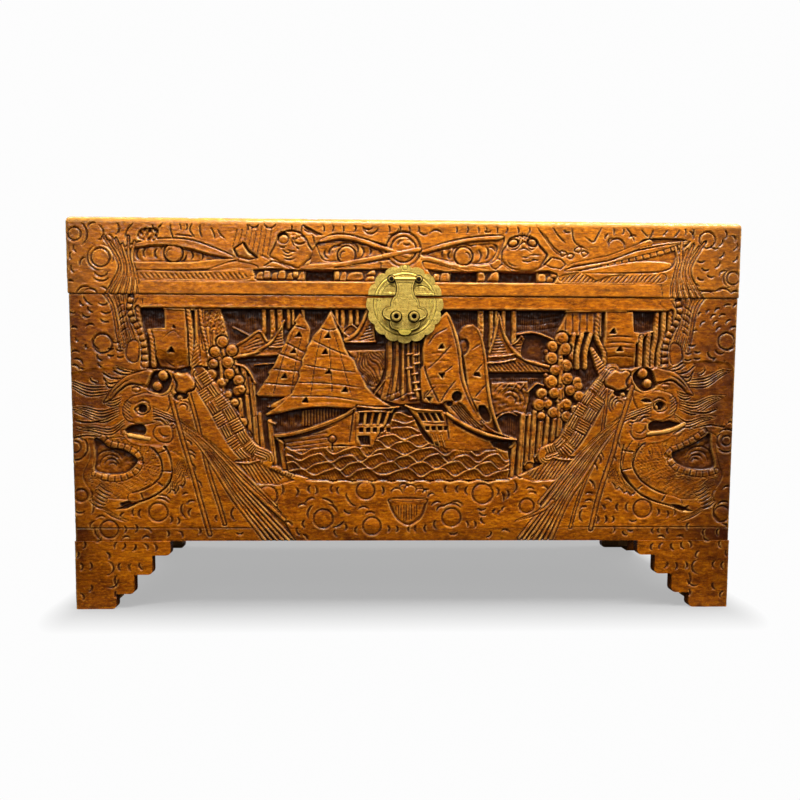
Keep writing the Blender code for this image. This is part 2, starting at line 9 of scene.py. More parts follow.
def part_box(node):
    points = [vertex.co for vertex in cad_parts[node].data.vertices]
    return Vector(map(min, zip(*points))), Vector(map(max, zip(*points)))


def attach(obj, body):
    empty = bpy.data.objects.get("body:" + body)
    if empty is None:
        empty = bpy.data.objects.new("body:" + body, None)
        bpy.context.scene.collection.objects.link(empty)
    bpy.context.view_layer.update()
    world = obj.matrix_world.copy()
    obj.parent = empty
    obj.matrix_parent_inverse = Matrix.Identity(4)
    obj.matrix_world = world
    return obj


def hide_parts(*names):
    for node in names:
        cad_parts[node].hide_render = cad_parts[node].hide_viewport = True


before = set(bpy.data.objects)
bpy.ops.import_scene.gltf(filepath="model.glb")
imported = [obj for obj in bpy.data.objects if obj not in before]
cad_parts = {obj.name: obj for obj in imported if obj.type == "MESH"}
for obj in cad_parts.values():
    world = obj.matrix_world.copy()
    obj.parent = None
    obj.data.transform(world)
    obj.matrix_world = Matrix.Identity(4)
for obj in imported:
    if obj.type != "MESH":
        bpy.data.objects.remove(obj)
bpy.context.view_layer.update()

# carving kit: a face is a grid of heights in mm, 0 is the uncarved wood and less than 0 is cut away

carving = {"frontStep": 1.15, "sideStep": 1.6, "topStep": 2.0, "quickStep": 2.2}


def mm(text):
    # points or strokes given as numbers in mm with commas between them, one point after another
    return [tuple(float(n) for n in row.split(",")) for row in text.split()]


def asPoints(points):
    return mm(points) if isinstance(points, str) else points


def smooth(points, closed=False, spans=6):
    # a flowing curve through given points
    p = np.array(asPoints(points), float)
    if len(p) < 3:
        return p
    ring = [p[-1:], p, p[:2]] if closed else [2 * p[:1] - p[1:2], p, 2 * p[-1:] - p[-2:-1]]
    ring = np.concatenate(ring)
    t = np.linspace(0, 1, spans, endpoint=False)[:, None]
    out = []
    for a, b, c, d in zip(ring, ring[1:], ring[2:], ring[3:]):
        bend = (2 * a - 5 * b + 4 * c - d) * t**2 + (3 * b - a - 3 * c + d) * t**3
        out.append(0.5 * (2 * b + (c - a) * t + bend))
    return np.concatenate(out if closed else out + [p[-1:]])


def traced(points, flow, closed=False):
    return smooth(points, closed) if flow else np.array(asPoints(points), float)


def nearest(path, x, z, closed=False):
    # distance to the path, how far along it in mm, its length, and which side (+1 is left of its way)
    starts, ends = (path, np.roll(path, -1, 0)) if closed else (path[:-1], path[1:])
    best, along, side, run = np.full(x.shape, 1e9), np.zeros(x.shape), np.ones(x.shape), 0.0
    for (ax, az), (bx, bz) in zip(starts, ends):
        dx, dz = bx - ax, bz - az
        length = math.hypot(dx, dz)
        if length < 1e-6:
            continue
        t = np.clip(((x - ax) * dx + (z - az) * dz) / length**2, 0, 1)
        ex, ez = x - ax - t * dx, z - az - t * dz
        d = ex * ex + ez * ez
        better = d < best
        best, along = np.where(better, d, best), np.where(better, run + t * length, along)
        side = np.where(better, np.sign(dx * ez - dz * ex), side)
        run += length
    return np.sqrt(best), along, max(run, 1e-6), side


def within(path, x, z):
    found = np.zeros(x.shape, bool)
    for (ax, az), (bx, bz) in zip(path, np.roll(path, -1, 0)):
        if az != bz:
            found ^= ((az > z) != (bz > z)) & (x < (bx - ax) * (z - az) / (bz - az) + ax)
    return found


def uneven(x, z, size, seed):
    # a gentle unevenness between -1 and 1, about size mm from bump to bump
    rng = np.random.default_rng(seed)
    total = 0
    for turn, phase, scale in zip(rng.uniform(0, math.pi, 6), rng.uniform(0, 6.3, 6),
                                  rng.uniform(0.7, 1.5, 6)):
        k = math.tau / (size * scale)
        total = total + np.cos(k * (x * math.cos(turn) + z * math.sin(turn)) + phase)
    return total / 3.5


def scores(x, z, turn, spacing, share=0.6):
    # parallel V cuts that run at an angle: 1 in the middle of each cut, 0 between them
    a = math.radians(turn)
    q = (z * math.cos(a) - x * math.sin(a)) / spacing
    return np.clip(1 - 2 * np.abs(q - np.round(q)) / share, 0, 1)


class CarvedFace:
    def __init__(self, low, high, step):
        self.low, self.step = low, step
        self.xs = np.arange(low[0], high[0] + step / 2, step)
        self.zs = np.arange(low[1], high[1] + step / 2, step)
        self.X, self.Z = np.meshgrid(self.xs, self.zs)
        # heights, painted darkening and shade, and painted highlight
        self.h, self.grime, self.shine = (np.zeros(self.X.shape) for _ in range(3))

    def near(self, path, margin):
        # the part of the grid around a path, its coordinates and its heights
        low = (path.min(0) - margin - self.low) / self.step
        high = (path.max(0) + margin - self.low) / self.step
        at = (slice(max(0, int(low[1])), max(0, int(high[1]) + 2)),
              slice(max(0, int(low[0])), max(0, int(high[0]) + 2)))
        return at, self.X[at], self.Z[at], self.h[at]

    def placed(self, x, z, scale=1.0, flip=False):
        # the same wood, drawn on in coordinates of another place and size
        way = -1 if flip else 1
        other = object.__new__(CarvedFace)
        other.h, other.shine = self.h[:, ::way], self.shine[:, ::way]
        other.X, other.Z = (self.X[:, ::way] - x) * way / scale, (self.Z - z) / scale
        other.low, other.step = (other.X[0, 0], other.Z[0, 0]), self.step / scale
        return other

    def inside(self, path, x, z):
        # mm inside an outline, negative outside, and a soft-edged cover of it
        d = nearest(path, x, z, closed=True)[0]
        d = np.where(within(path, x, z), d, -d)
        return d, np.clip(d / self.step + 0.5, 0, 1)

    def fill(self, points, level, edge=1.6, drop=1.0, dome=0.0, flow=True, wear=0.0):
        # a solid shape at its own level, rounded over at its edge
        path = traced(points, flow, True)
        at, x, z, h = self.near(path, 2)
        if not h.size:
            return
        d, cover = self.inside(path, x, z)
        top = level(x, z) if callable(level) else level
        top = top - drop * (1 - np.clip(d / edge, 0, 1)) ** 2 + dome * (1 - np.exp(-np.clip(d, 0, None) / 9))
        if wear:
            top = top + wear * uneven(x, z, 14, len(asPoints(points)))
        self.h[at] = h * (1 - cover) + top * cover

    def sink(self, points, depth, slope=1.2, flow=True):
        # lowers what is there
        path = traced(points, flow, True)
        at, x, z, h = self.near(path, 2)
        if h.size:
            d, _ = self.inside(path, x, z)
            self.h[at] = h - depth * np.clip(d / slope + 0.5, 0, 1)

    def cut(self, points, depth=1.6, width=2.6, fade=0.3, lean=0.0, flow=True):
        # a V cut along a line that thins towards its ends
        path = traced(points, flow)
        at, x, z, h = self.near(path, width)
        if not h.size:
            return
        d, along, length, side = nearest(path, x, z)
        end = np.minimum(along, length - along) / (fade * length + 1e-6)
        thin = np.sqrt(np.clip(end, 0.08, 1))
        half = width / 2 * thin * (1 + lean * side)
        self.h[at] = h - depth * thin * np.clip(1 - d / np.maximum(half, self.step * 0.6), 0, 1)

    def cord(self, points, level, rise, width, ends=(1, 1), flow=True):
        # a raised round line, with its width scaled at each end
        path = traced(points, flow)
        at, x, z, h = self.near(path, width)
        if not h.size:
            return
        d, along, length, _ = nearest(path, x, z)
        half = width / 2 * np.interp(along / length, [0, 0.5, 1], [ends[0], 1, ends[1]])
        q = np.clip(d / half, 0, 1)
        cover = np.clip((half - d) / self.step + 0.5, 0, 1)
        self.h[at] = h * (1 - cover) + (level + rise * (np.sqrt(1 - q * q) - 1)) * cover

    def band(self, points, width, level, pattern=None, ends=(1, 1), edge=1.4, drop=1.0, dome=0.0, flow=True):
        # a strip along a line; pattern gives its surface from the mm along it and across it
        path = traced(points, flow)
        at, x, z, h = self.near(path, width)
        if not h.size:
            return
        d, along, length, side = nearest(path, x, z)
        half = width / 2 * np.interp(along / length, [0, 0.5, 1], [ends[0], 1, ends[1]])
        top = level - drop * (1 - np.clip((half - d) / edge, 0, 1)) ** 2 + dome * (1 - (d / half) ** 2)
        if pattern is not None:
            top = top + pattern(along, d * side)
        cover = np.clip((half - d) / self.step + 0.5, 0, 1)
        self.h[at] = h * (1 - cover) + top * cover

    def ball(self, x0, z0, r, level, rise=None, stretch=1.0, turn=0.0):
        path = np.array([(x0 - r * 1.5, z0 - r * 1.5), (x0 + r * 1.5, z0 + r * 1.5)])
        at, x, z, h = self.near(path, 1)
        a = math.radians(turn)
        u = ((x - x0) * math.cos(a) + (z - z0) * math.sin(a)) / stretch
        q = np.hypot(u, (z - z0) * math.cos(a) - (x - x0) * math.sin(a)) / r
        rise = r * 0.45 if rise is None else rise
        cover = np.clip((1 - q) * r / self.step + 0.5, 0, 1)
        top = level + rise * (np.sqrt(1 - np.clip(q, 0, 1) ** 2) - 1)
        self.h[at] = h * (1 - cover) + top * cover

    def gouge(self, x0, z0, r, middle=90, sweep=110, depth=1.7, width=3.4):
        # a gouge's cut on an arc: steep on the inner side, sloping out on the other
        path = np.array([(x0 - r, z0 - r), (x0 + r, z0 + r)])
        at, x, z, h = self.near(path, abs(width) + 1)
        if not h.size:
            return
        turn = np.degrees(np.arctan2(z - z0, x - x0)) - middle
        turn = np.abs((turn + 180) % 360 - 180) / (sweep / 2)
        fade = np.sqrt(np.clip(1 - turn**2, 0, 1)) if sweep < 360 else 1.0
        s = (np.hypot(x - x0, z - z0) - r) * (1 if width > 0 else -1)
        reach = abs(width) * fade + 1e-6
        slope = np.where(s > 0, np.clip(1 - s / reach, 0, 1), np.clip(1 + s / 0.9, 0, 1))
        self.h[at] = h - depth * fade * slope

    def ring(self, x0, z0, r, depth=1.7, width=3.0):
        self.gouge(x0, z0, r, 0, 360, depth, width)

    def hatch(self, points, turn, spacing, depth=0.8, share=0.6, flow=True, wobble=0.0):
        path = traced(points, flow, True)
        at, x, z, h = self.near(path, 1)
        if not h.size:
            return
        _, cover = self.inside(path, x, z)
        bend = wobble * uneven(x, z, spacing * 7, 5) if wobble else 0
        self.h[at] = h - depth * cover * scores(x, z + bend, turn, spacing, share)

    def rough(self, points, size, height, seed=1, flow=True):
        path = traced(points, flow, True)
        at, x, z, h = self.near(path, 1)
        if h.size:
            _, cover = self.inside(path, x, z)
            self.h[at] = h + height * cover * uneven(x, z, size, seed)


def blurred(h, sigma):
    # heights seen through a soft window of that many cells
    reach = int(3 * sigma) + 1
    k = np.exp(-0.5 * (np.arange(-reach, reach + 1) / sigma) ** 2)
    k /= k.sum()
    wide = np.pad(h, reach, mode="edge")
    out = sum(wide[i:i + h.shape[0]] * w for i, w in enumerate(k))
    return sum(out[:, i:i + h.shape[1]] * w for i, w in enumerate(k))


def mirrored(points, side, dx=0.0, dz=0.0):
    return [(side * x + dx, z + dz) for x, z in asPoints(points)]


# the front: a bay with two junks between a pair of dragons, in a border of clouds

# the bay's ground below the face in mm, and soft patches painted darker on the front: middle, half sizes and
# strength
front = {"ground": -10.0,
         "darkPatches": ((-425, 390, 70, 80, 0.3), (-470, 290, 40, 90, 0.24), (430, 380, 80, 90, 0.3),
                   (482, 235, 50, 110, 0.38), (-300, 270, 50, 80, 0.12), (300, 290, 50, 80, 0.14),
                   (340, 200, 60, 60, 0.1))}


def drawSeaBay(f):
    ground = front["ground"]
    edge = [(x, 201 - 4 * (i % 2)) for i, x in enumerate(range(-128, 150, 15))]
    edge = [(-140, 200)] + edge + [(165, 204)]
    bay = mm("-410,460 -404,430 -400,400 -398,372 -384,366 -366,364 -350,362 -335,362 -322,345 -300,325 "
             "-280,298 -262,272 -225,238 -200,223 -180,212")
    bay += edge + mm("185,211 206,222 222,240 240,262 262,285 282,310 300,335 306,352 310,370 345,374 "
                     "370,372 392,376 398,400 403,430 406,460")
    f.fill(bay, ground, edge=1.2, drop=0, flow=False)
    f.hatch(bay, 90, 3.4, 0.7, 0.8, flow=False, wobble=1.2)
    f.rough(bay, 12, 0.6, 3, flow=False)


def drawWaves(f, water=None):
    # rolling crests, each row in front of the one above, combed with fine slanting cuts
    rows = mm("302,0.35 291,0.6 280,0.1 268,0.55 257,0.0 246,0.5 235,0.05 224,0.55 213,0.1")
    water = water or mm("-186,250 -150,255 -90,252 -50,262 -22,300 -8,306 8,300 30,262 60,252 110,256 "
                        "150,246 158,240 158,204 130,200 -130,199 -150,204 -182,214")
    path = smooth(water, True, 3)
    at, x, z, h = f.near(path, 2)
    _, cover = f.inside(path, x, z)
    surface = np.full(x.shape, -9.0)
    for i, (rowZ, shift) in enumerate(rows):
        swell = 7.5 if i > 3 else 4.0
        turn = (x / (45 + 5 * (i % 3)) + shift + 0.11 * uneven(x, rowZ + 0 * z, 110, i)) * math.tau
        high = 1 + 0.35 * uneven(x, rowZ + 0 * z, 60, i + 20)
        crest = rowZ + swell * high * (np.cos(turn) - 0.25 * np.cos(2 * turn + 0.7)) * 0.75
        below = crest - z
        body = -4.9 + 0.12 * i + 2.4 * np.exp(-np.clip(below, 0, None) / 7)
        comb = scores(x + 0.4 * below + 2 * np.sin(turn), z, -34 - 5 * (i % 3), 3.6, 0.75)
        comb = comb * 0.5 * np.clip((below - 2) / 2.5, 0, 1)
        lip = 1.3 * np.exp(-((below - 0.9) / 1.15) ** 2)
        top = body - comb + lip
        over = np.clip(below / f.step + 0.5, 0, 1)
        surface = surface * (1 - over) + top * over
    f.h[at] = h * (1 - cover) + surface * cover


def sailSkin(level, bulge, middle, wide):
    # a sail's cloth: highest along its middle, a little uneven
    return lambda x, z: level - bulge * ((x - middle) / wide) ** 2 + 0.25 * uneven(x, z, 22, 8)


def patchHole(f, x, z, size=4.5, up=1):
    f.fill([(x - size, z - up * size * 0.6), (x + size, z - up * size * 0.6),
            (x + size * 0.3, z + up * size)],
           -9.5, drop=0, flow=False)


def drawLeftJunk(f):
    rear = mm("-163,455 -172,441 -169,438 -180,424 -186,408 -195,392 -203,374 -212,364 -210,360 -218,349 "
              "-230,331 -226,327 -188,326 -214,312 -206,309 -160,318 -150,345 -150,400 -146,430 -152,441")
    f.fill(rear, sailSkin(-3.6, 1.0, -185, 50), edge=2.0, drop=1.2, flow=False)
    for a, b in (((-176, 436), (-152, 430)), ((-186, 410), (-150, 392)), ((-197, 394), (-152, 378)),
                 ((-206, 370), (-158, 365)), ((-219, 348), (-164, 344)), ((-228, 328), (-184, 327))):
        f.cut([a, b], 1.5, 3.0, 0.1)
    for x0, x1 in ((-172, -205), (-158, -178)):
        f.cut([(x0, 428), ((x0 + x1) / 2, 385), (x1, 325)], 1.0, 2.2, 0.1)
    for x, z in mm("-173,396 -187,358 -165,421"):
        patchHole(f, x, z, 4.5)
    patchHole(f, -210, 316, 5, -1)
    # hull, with its rubbing strake and stern gallery
    hull = mm("-200,268 -168,272 -138,281 -108,294 -78,316 -20,312 -32,290 -44,268 -52,252 -70,250 "
              "-100,254 -130,250 -150,248 -176,246 -186,252 -190,262")
    f.fill(hull, lambda x, z: -3.4 - 3.2 * np.clip((-120 - x) / 60, 0, 1), edge=2, drop=1.2, flow=False)
    f.hatch("-186,252 -190,264 -150,274 -120,272 -130,252", 8, 7, 1.0, 0.35)
    cabin = mm("-163,282 -160,306 -120,312 -86,312 -92,303 -110,293 -140,283")
    f.fill(cabin, -7.4, drop=0, flow=False)
    f.hatch(cabin, 90, 4.6, 1.9, 0.5, flow=False)
    strake = mm("-201,268 -185,269 -162,274 -136,282 -110,292 -92,301 -80,309")
    f.band(strake, 5.6, -1.0, lambda u, v: -0.9 * (np.abs(v + 0.4) < 0.8), ends=(0.9, 0.8), drop=1.2)
    f.cut(mirrored("200,262 162,267 136,275 108,285", -1), 1.8, 4)
    f.ball(-114, 263, 5, -1.2, 2.6)
    f.ring(-114, 263, 5.6, 1.4, 2)
    f.cut("-114,257 -114,245", 2.2, 3.4, 0.1)
    gallery = mm("-78,314 -18,311 -30,288 -46,266 -52,250 -66,252 -78,256")
    f.fill(gallery, -2.6, edge=1.4, drop=0.8, flow=False)
    for i in range(5):
        x = -73 + i * 10.4
        f.fill([(x, 286), (x + 5.6, 286), (x + 7.6 + i, 303), (x + 1.6 + i, 303)], -8.5, drop=0, flow=False)
        f.fill([(x + 0.5, 274), (x + 6, 274), (x + 6.4, 280.5), (x + 0.7, 280.5)], -8.5, drop=0, flow=False)
    f.fill("-77,304.5 -24,306 -22,310 -77,311", -6.5, drop=0, flow=False)
    f.cord("-75,313.6 -40,310 -12,312.5", -0.8, 2, 3, (1, 0.8))
    f.cord("-74,305 -44,306 -33,305.5", -1.0, 2, 2.6)
    f.cut("-79,283 -50,283 -34,285", 1.2, 2.4, 0.1)
    f.fill("-75,268 -57,268 -56,254 -70,254", -7, drop=0.5, flow=False)
    f.hatch("-75,268 -57,268 -56,254 -70,254", 88, 4.5, 1.4, 0.6, flow=False)
    f.cut("-81,312 -84,285 -88,258", 1.8, 3.0, 0.1)
    # main sail
    left = mm("-117,457 -122,448 -130,435 -133,430 -144,419 -146,412 -153,402 -153,397 -160,384 -160,376 "
              "-165,366 -164,358 -168,349 -172,342 -176,333 -186,324 -196,314 -216,301")
    low = mm("-214,298 -190,303 -168,308 -140,311 -119,311.5 -95,310 -82,309.5 -76,315 -50,313 -7,313.5")
    right = mm("-22,313 -36,321 -49,330 -61,343 -64,350 -70,361 -76,372 -80,383 -88,390 -94,402 -97,412 "
               "-102,425 -108,436 -113,452")
    f.fill(left + low + right, sailSkin(-0.9, 1.6, -118, 75), edge=2.2, drop=1.7, flow=False)
    for a, m, b in (mm("-133,432 -118,428 -106,431"), mm("-145,414 -120,402 -90,390"),
                    mm("-158,376 -120,370 -78,365"), mm("-166,349 -120,348 -70,342"),
                    mm("-182,328 -120,328 -66,321")):
        f.cut([a, m, b], 1.6, 2.3, 0.08)
    for x0, x1 in mm("-128,-147 -113,-84 -119,-113"):
        f.cut([(x0, 432), ((x0 + x1) / 2 - 1, 385), (x1, 326)], 0.9, 2.2, 0.1)
    for z in (386, 357, 338, 318):
        f.cut([(-150 - (386 - z) * 0.25, z), (-110, z + 2), (-84 + (386 - z) * 0.2, z - 3)], 0.5, 6, 0.25)
    for x, z in mm("-121,419 -125,395 -120,365 -95,338 -155,322"):
        patchHole(f, x, z, 4.6)
    f.cord("-116,458 -104,436 -96,424 -88,418", -3.2, 2, 2.6)
    f.cut("-214,299.5 -168,309.5 -119,312.5", 1.0, 2.2, 0.1)


def drawRightJunk(f):
    second = mm("92,438 99,438 108,432 113,420 118,404 121,385 124,360 127,335 133,310 141,288 150,270 "
                "118,276 104,290 97,320 92,350 88,380 83,405 77,424 84,434")
    f.fill(second, sailSkin(-2.8, 2.6, 108, 22), edge=2, drop=1.2, flow=False)
    f.cord("100,437 109,428 116,408 120,385 124,350 130,315 140,285 146,272",
           -2.0, 1.8, 5.5, (0.6, 0.8))
    for pts in (((98, 400), (112, 409)), ((101, 361), (116, 380)), ((104, 327), (122, 348)),
                ((100, 325), (114, 322))):
        f.cut(list(pts), 1.4, 2.8, 0.15)
    f.ball(86, 404, 8, -6, 2, 1.6, 80)
    f.fill("102,361 113,359 110,365 106,366", -9, drop=0, flow=False)
    f.ball(120, 303, 7, -10.5, 1, 2.1, -62)
    f.gouge(121, 305, 9, 150, 170, 1.5, 3)
    # front sail
    leaf = mm("60,458 66,450 72,436 78,420 83,397 86,372 90,352 96,335 104,318 112,302 120,288 100,285 "
              "70,300 56,318 48,316 24,320 20,345 20,370 24,376 23,400 26,416 40,440")
    f.fill(leaf, sailSkin(-0.9, 1.9, 55, 36), edge=2, drop=1.6, flow=False)
    f.cut("60,452 69,430 76,405 80,380 82,360 88,340 97,320 108,300", 1.5, 3, 0.1)
    f.cut("26,378 30,362 38,342 46,326 50,316", 1.8, 3.2, 0.1)
    for pts in (mm("31,407 43,423 62,433"), mm("30,370 48,386 68,408"), ((50, 360), (70, 376)),
                mm("24,322 34,335 45,346"), mm("50,318 62,338 75,354"), mm("33,338 27,330 25,322")):
        f.cut(list(pts), 1.5, 2.8, 0.12, lean=-0.3)
    for x, z in mm("52,404 53,361 34,325"):
        patchHole(f, x, z, 4.6, 1 if z > 380 else -1)
    for z in (392, 380, 355, 345):
        f.cut([(30, z), (48, z + 3), (66, z + 2)], 0.6, 5, 0.25)
    f.fill("56,318 66,322 84,318 100,300 118,282 96,284 70,300", -4.5, drop=0.5)
    f.ball(77, 329, 7.2, -10.5, 1, 1.1, 60)
    f.gouge(77, 330, 8.5, 60, 150, 1.6, 3)
    for i in range(5):
        f.cut([(62 + i * 5, 320 - i), (76 + i * 6, 304 - i * 2), (92 + i * 7, 286 - i * 2)], 2.2, 3.2, 0.12)
    f.ball(66, 318, 4, -9.5, 1)
    # hull, strake and gallery
    hull = mm("0,314 20,309 54,307 64,302 84,290 106,279 130,271 168,264 152,262 130,259 140,247 110,244 "
              "88,246 60,248 42,258 28,276 12,298")
    f.fill(hull, lambda x, z: -3.2 - 3.4 * np.clip((x - 108) / 30, 0, 1), edge=2, drop=1.2, flow=False)
    f.band("62,302 74,294 90,285 108,276.5 128,269.5 148,265 169,263", 6.2, -0.8,
           ends=(0.9, 0.6), drop=1.4, dome=0.6)
    f.cut("70,290 90,279 110,269 132,262 158,259", 2.6, 6, 0.1)
    f.cord("116,290 128,279 146,271 164,265.5", -1.4, 2, 2.6, (0.8, 0.6))
    gallery = mm("2,312 52,306 58,300 58,262 44,258 32,274 16,296")
    f.fill(gallery, -2.6, edge=1.4, drop=0.8, flow=False)
    for i in range(4):
        x = 18 + i * 9.5
        f.fill([(x + 6, 291), (x + 11, 291), (x + 5, 303), (x - 1, 303.5)], -8.5, drop=0, flow=False)
        f.fill([(x + 12, 277), (x + 17, 277), (x + 16.6, 282.5), (x + 11, 282.5)], -8.5, drop=0, flow=False)
    f.cord("-2,314.5 14,309 34,307.5 54,306.5", -0.8, 2, 3)
    f.cut("24,288.5 42,287 58,288", 1.2, 2.4, 0.1)
    for x in (38, 45, 53):
        f.cord([(x, 271), (x + 3, 262), (x + 6, 252)], -2.2, 2, 3.2, (1, 0.8))
    f.cut("61,298 63,280 66,262", 1.6, 3, 0.1)


def drawPagoda(f, side, dx, dz):
    # curved roofs over a dark loggia
    def at(points):
        return mirrored(points, side, dx, dz)
    f.fill(at("-14,10 -6,40 0,64 6,40 22,14 46,-6 80,-18 80,-26 -16,-26 -16,0"),
           lambda x, z: -5.2, edge=1.6, drop=1.0, flow=False)
    f.hatch(at("-12,2 -1,34 6,20 14,2"), 3, 4.4, 1.3, 0.6, flow=False, wobble=1)
    f.cord(at("-14,4 -6,30 0,64"), -3.2, 2, 5.5, (0.7, 0.5))
    f.cord(at("1,60 8,32 24,6 46,-8 78,-17"), -3.0, 2.2, 6, (0.5, 0.8))
    f.cord(at("-15,-3 10,-1 30,3"), -3.0, 1.6, 2.4)
    f.cord(at("-17,-12 6,-10.5 26,-6"), -2.8, 2, 3.0)
    f.hatch(at("-15,-14 26,-9 60,-16 78,-20 78,-25 -15,-25"), -48 * side, 4.6, 1.2, 0.6, flow=False)
    f.cut(at("26,2 46,-12 78,-21"), 1.6, 3)
    f.fill(at("20,16 34,26 48,8 78,-12 60,-6 40,-2"), -5.6, drop=0.6, flow=False)
    f.hatch(at("22,12 34,22 44,8 56,-2"), 3, 4.4, 1.0, 0.6, flow=False)
    f.cord(at("18,15 27,20 35,29"), -3.6, 2, 2.6)
    f.cord(at("35,29 46,14 62,0 80,-8"), -3.4, 2, 4)


def drawTown(f):
    # posts and screens under the rail
    for x, wide, low in mm("-217,7,424 -204,8,412 -193,9,400 -180,6,432 -173,5,438 -158,6,440 -107,6,436 "
                           "-98,7,430 -86,7,434 -76,6,438 112,10,405 128,7,405 136,5,415 147,7,408 "
                           "163,8,400"):
        f.cord([(x, 458), (x + 0.5, (458 + low) / 2), (x, low)], -3.6, 2.6, wide, flow=False)
        f.rough([(x - wide / 2, 456), (x + wide / 2, 456), (x + wide / 2, low), (x - wide / 2, low)],
                5, 0.5, 2, flow=False)
        f.sink([(x - wide / 2, 458), (x + wide / 2, 458), (x + wide / 2, 456), (x - wide / 2, 456)],
               -1.2, flow=False)
    drawPagoda(f, 1, 140, 392)
    f.fill("178,388 176,404 184,420 206,421 224,410 220,386 200,384", -10.5, drop=0)
    f.cord("168,424 190,427 208,423 226,415", -3.4, 2.4, 3.4)
    f.hatch("170,455 232,455 232,430 190,430 170,428", 0, 9, 0.7, 0.4, flow=False, wobble=4)
    f.fill("126,365.5 222,366 222,358 126,357", -11, drop=0, flow=False)
    # roofs on the left
    f.fill("-264,402 -245,413 -223,426 -212,412 -204,418 -192,434 -188,425 -196,408 -190,402 -190,391 "
           "-205,389 -230,388 -264,387", -5.0, edge=1.6, flow=False)
    f.hatch("-250,402 -226,418 -212,403 -230,396", 20, 4.4, 1.1, 0.6, flow=False, wobble=2)
    f.cord("-264,402 -246,412 -224,426 -213,412", -3.0, 2.4, 4.0)
    f.cord("-186,442 -194,426 -204,412 -220,400 -240,391 -264,387", -2.8, 2.4, 5.5, (0.6, 1))
    f.cut("-198,412 -216,400 -240,394 -260,392", 1.3, 2.4)
    f.fill("-208,403 -190,431 -186,402", -5, drop=0.5, flow=False)
    f.hatch("-206,404 -190,430 -187,403", 12, 4.2, 1.4, 0.6, flow=False)
    f.cord("-209,402.5 -196,402 -185,404", -3, 2, 2.6)
    f.fill("-264,385 -196,387 -198,379 -264,377", -11, drop=0, flow=False)
    f.cord("-264,432 -252,426 -240,420", -5, 2, 2.2)
    f.cord("-232,375 -216,377 -203,378", -6, 2, 2.2)
    # roof, rock and opening between the big sail and the lock
    f.fill("-98,426 -86,437 -76,429 -68,440 -60,457 -50,457 -48,411 -96,411", -5.4,
           edge=1.6, flow=False)
    f.cord("-99,426 -86,436.5 -75,430", -3.4, 2, 2.8)
    f.cord("-61,458 -68,440 -78,424 -94,413", -2.8, 2.4, 6)
    f.hatch("-74,413 -56,440 -50,413", 15, 4.4, 1.4, 0.6, flow=False)
    f.cord("-94,411 -70,410.5 -48,411.5", -3.2, 2, 2.6)
    f.fill("-94,408 -34,408 -34,399 -90,399", -11, drop=0, flow=False)
    f.fill("-91,398 -33,400 -34,372 -40,352 -56,330 -66,345 -76,368 -84,386", -6.6,
           edge=1.6, wear=0.5, flow=False)
    rock = mm("-90,396 -35,396 -36,352 -60,340 -78,370")
    f.rough(rock, 15, 0.6, 4, flow=False)
    f.hatch(rock, 118, 4.3, 1.0, 0.55, flow=False, wobble=11)
    for z, r in mm("352,16 346,22 340,26"):
        f.gouge(-50, z + 8, r, 265, 80, 1.5, 3)
    f.cord("-50,331 -42,342 -34,353", -4, 2, 2.6)
    # trunks and rock in the middle
    f.fill("-32,410 20,410 20,318 -10,316 -34,322 -46,334 -33,352", -6.4, drop=0.5, flow=False)
    f.hatch("-32,410 20,410 20,330 -20,335 -33,350", 90, 5.4, 1.8, 0.6, flow=False, wobble=1.2)
    for x, wide, lean in mm("-26,8,-4 -15,6,-3 -6,5,0 2,5,2 10,5,3"):
        f.cord([(x, 410), (x, 380), (x + lean, 350), (x + lean * 2.4, 326)], -4.2, 2.4, wide, (1, 1.2))
    for x, z in mm("4,392 14,391 4,371 15,378 12,362 14,349 6,332 10,324 16,338"):
        f.cord([(x - 4, z), (x + 4, z + 1.5)], -3.2, 2.4, 3.6)
    for pts in (mm("-2,344 -18,334 -38,327"), mm("4,336 -14,326 -30,321")):
        f.cut(list(pts), 1.5, 3)
    # rock on the right, cut in arcs
    f.fill("130,350 186,352 190,330 184,302 150,304 136,300 130,320", -6.8, edge=1.6, flow=False)
    for r in (8, 15, 22, 29):
        f.gouge(160, 322, r, 60, 200, 1.2, 3)
    f.rough("130,350 186,352 190,330 184,302 150,304 136,300 130,320", 9, 0.45, 6, flow=False)
    for x in (152, 164, 176):
        f.cord([(x - 2, 340), (x + 4, 348)], -4.4, 2, 2.4)
    f.cord("186,336 192,342 200,349 211,346", -3.8, 2.4, 2.8)
    f.cord("138,294 148,302 160,304 170,300", -5, 2.2, 2.8)
    f.cord("166,306 176,303 186,300", -4.6, 2.2, 3)


def drawCliffs(f):
    # standing timbers and rocks at both sides of the bay
    posts = mm("-252,322,272,8 -241,330,262,7 -232,345,246,8 -222,300,236,7 -206,289,226,9 -190,258,218,8 "
               "-246,372,335,9 -258,380,340,7 -236,356,300,6")
    posts += mm("165,257,207,8 178,300,208,9 188,300,222,6 196,306,226,8 207,306,240,8 217,300,250,7 "
                "228,302,262,7 238,345,268,9")
    for x, high, low, wide in posts:
        lean = 3 if x < 0 else -2
        f.cord([(x - lean, high), (x, (high + low) / 2), (x + lean, low)], -4.0, 3.0, wide, (1, 1.1))
        f.cut([(x - lean + 1.2, high - 4), (x + 1.2, (high + low) / 2), (x + lean, low + 4)], 0.9, 2.2, 0.2)
    f.cord("-211,290 -201,286", -2.4, 2, 3)
    f.cord("-200,264 -189,256", -2.4, 2, 3)
    f.cord("-262,377 -246,372 -238,362 -231,348", -2.6, 2.6, 4)
    f.cord("160,250 168,258", -2.6, 2.2, 3)
    for x, z in ((190, 226), (206, 238)):
        f.ball(x, z - 4, 8, -4.4, 3)
        f.cord([(x - 7, z - 3), (x - 2, z + 3), (x + 7, z + 2)], -3.4, 2.2, 2.8)


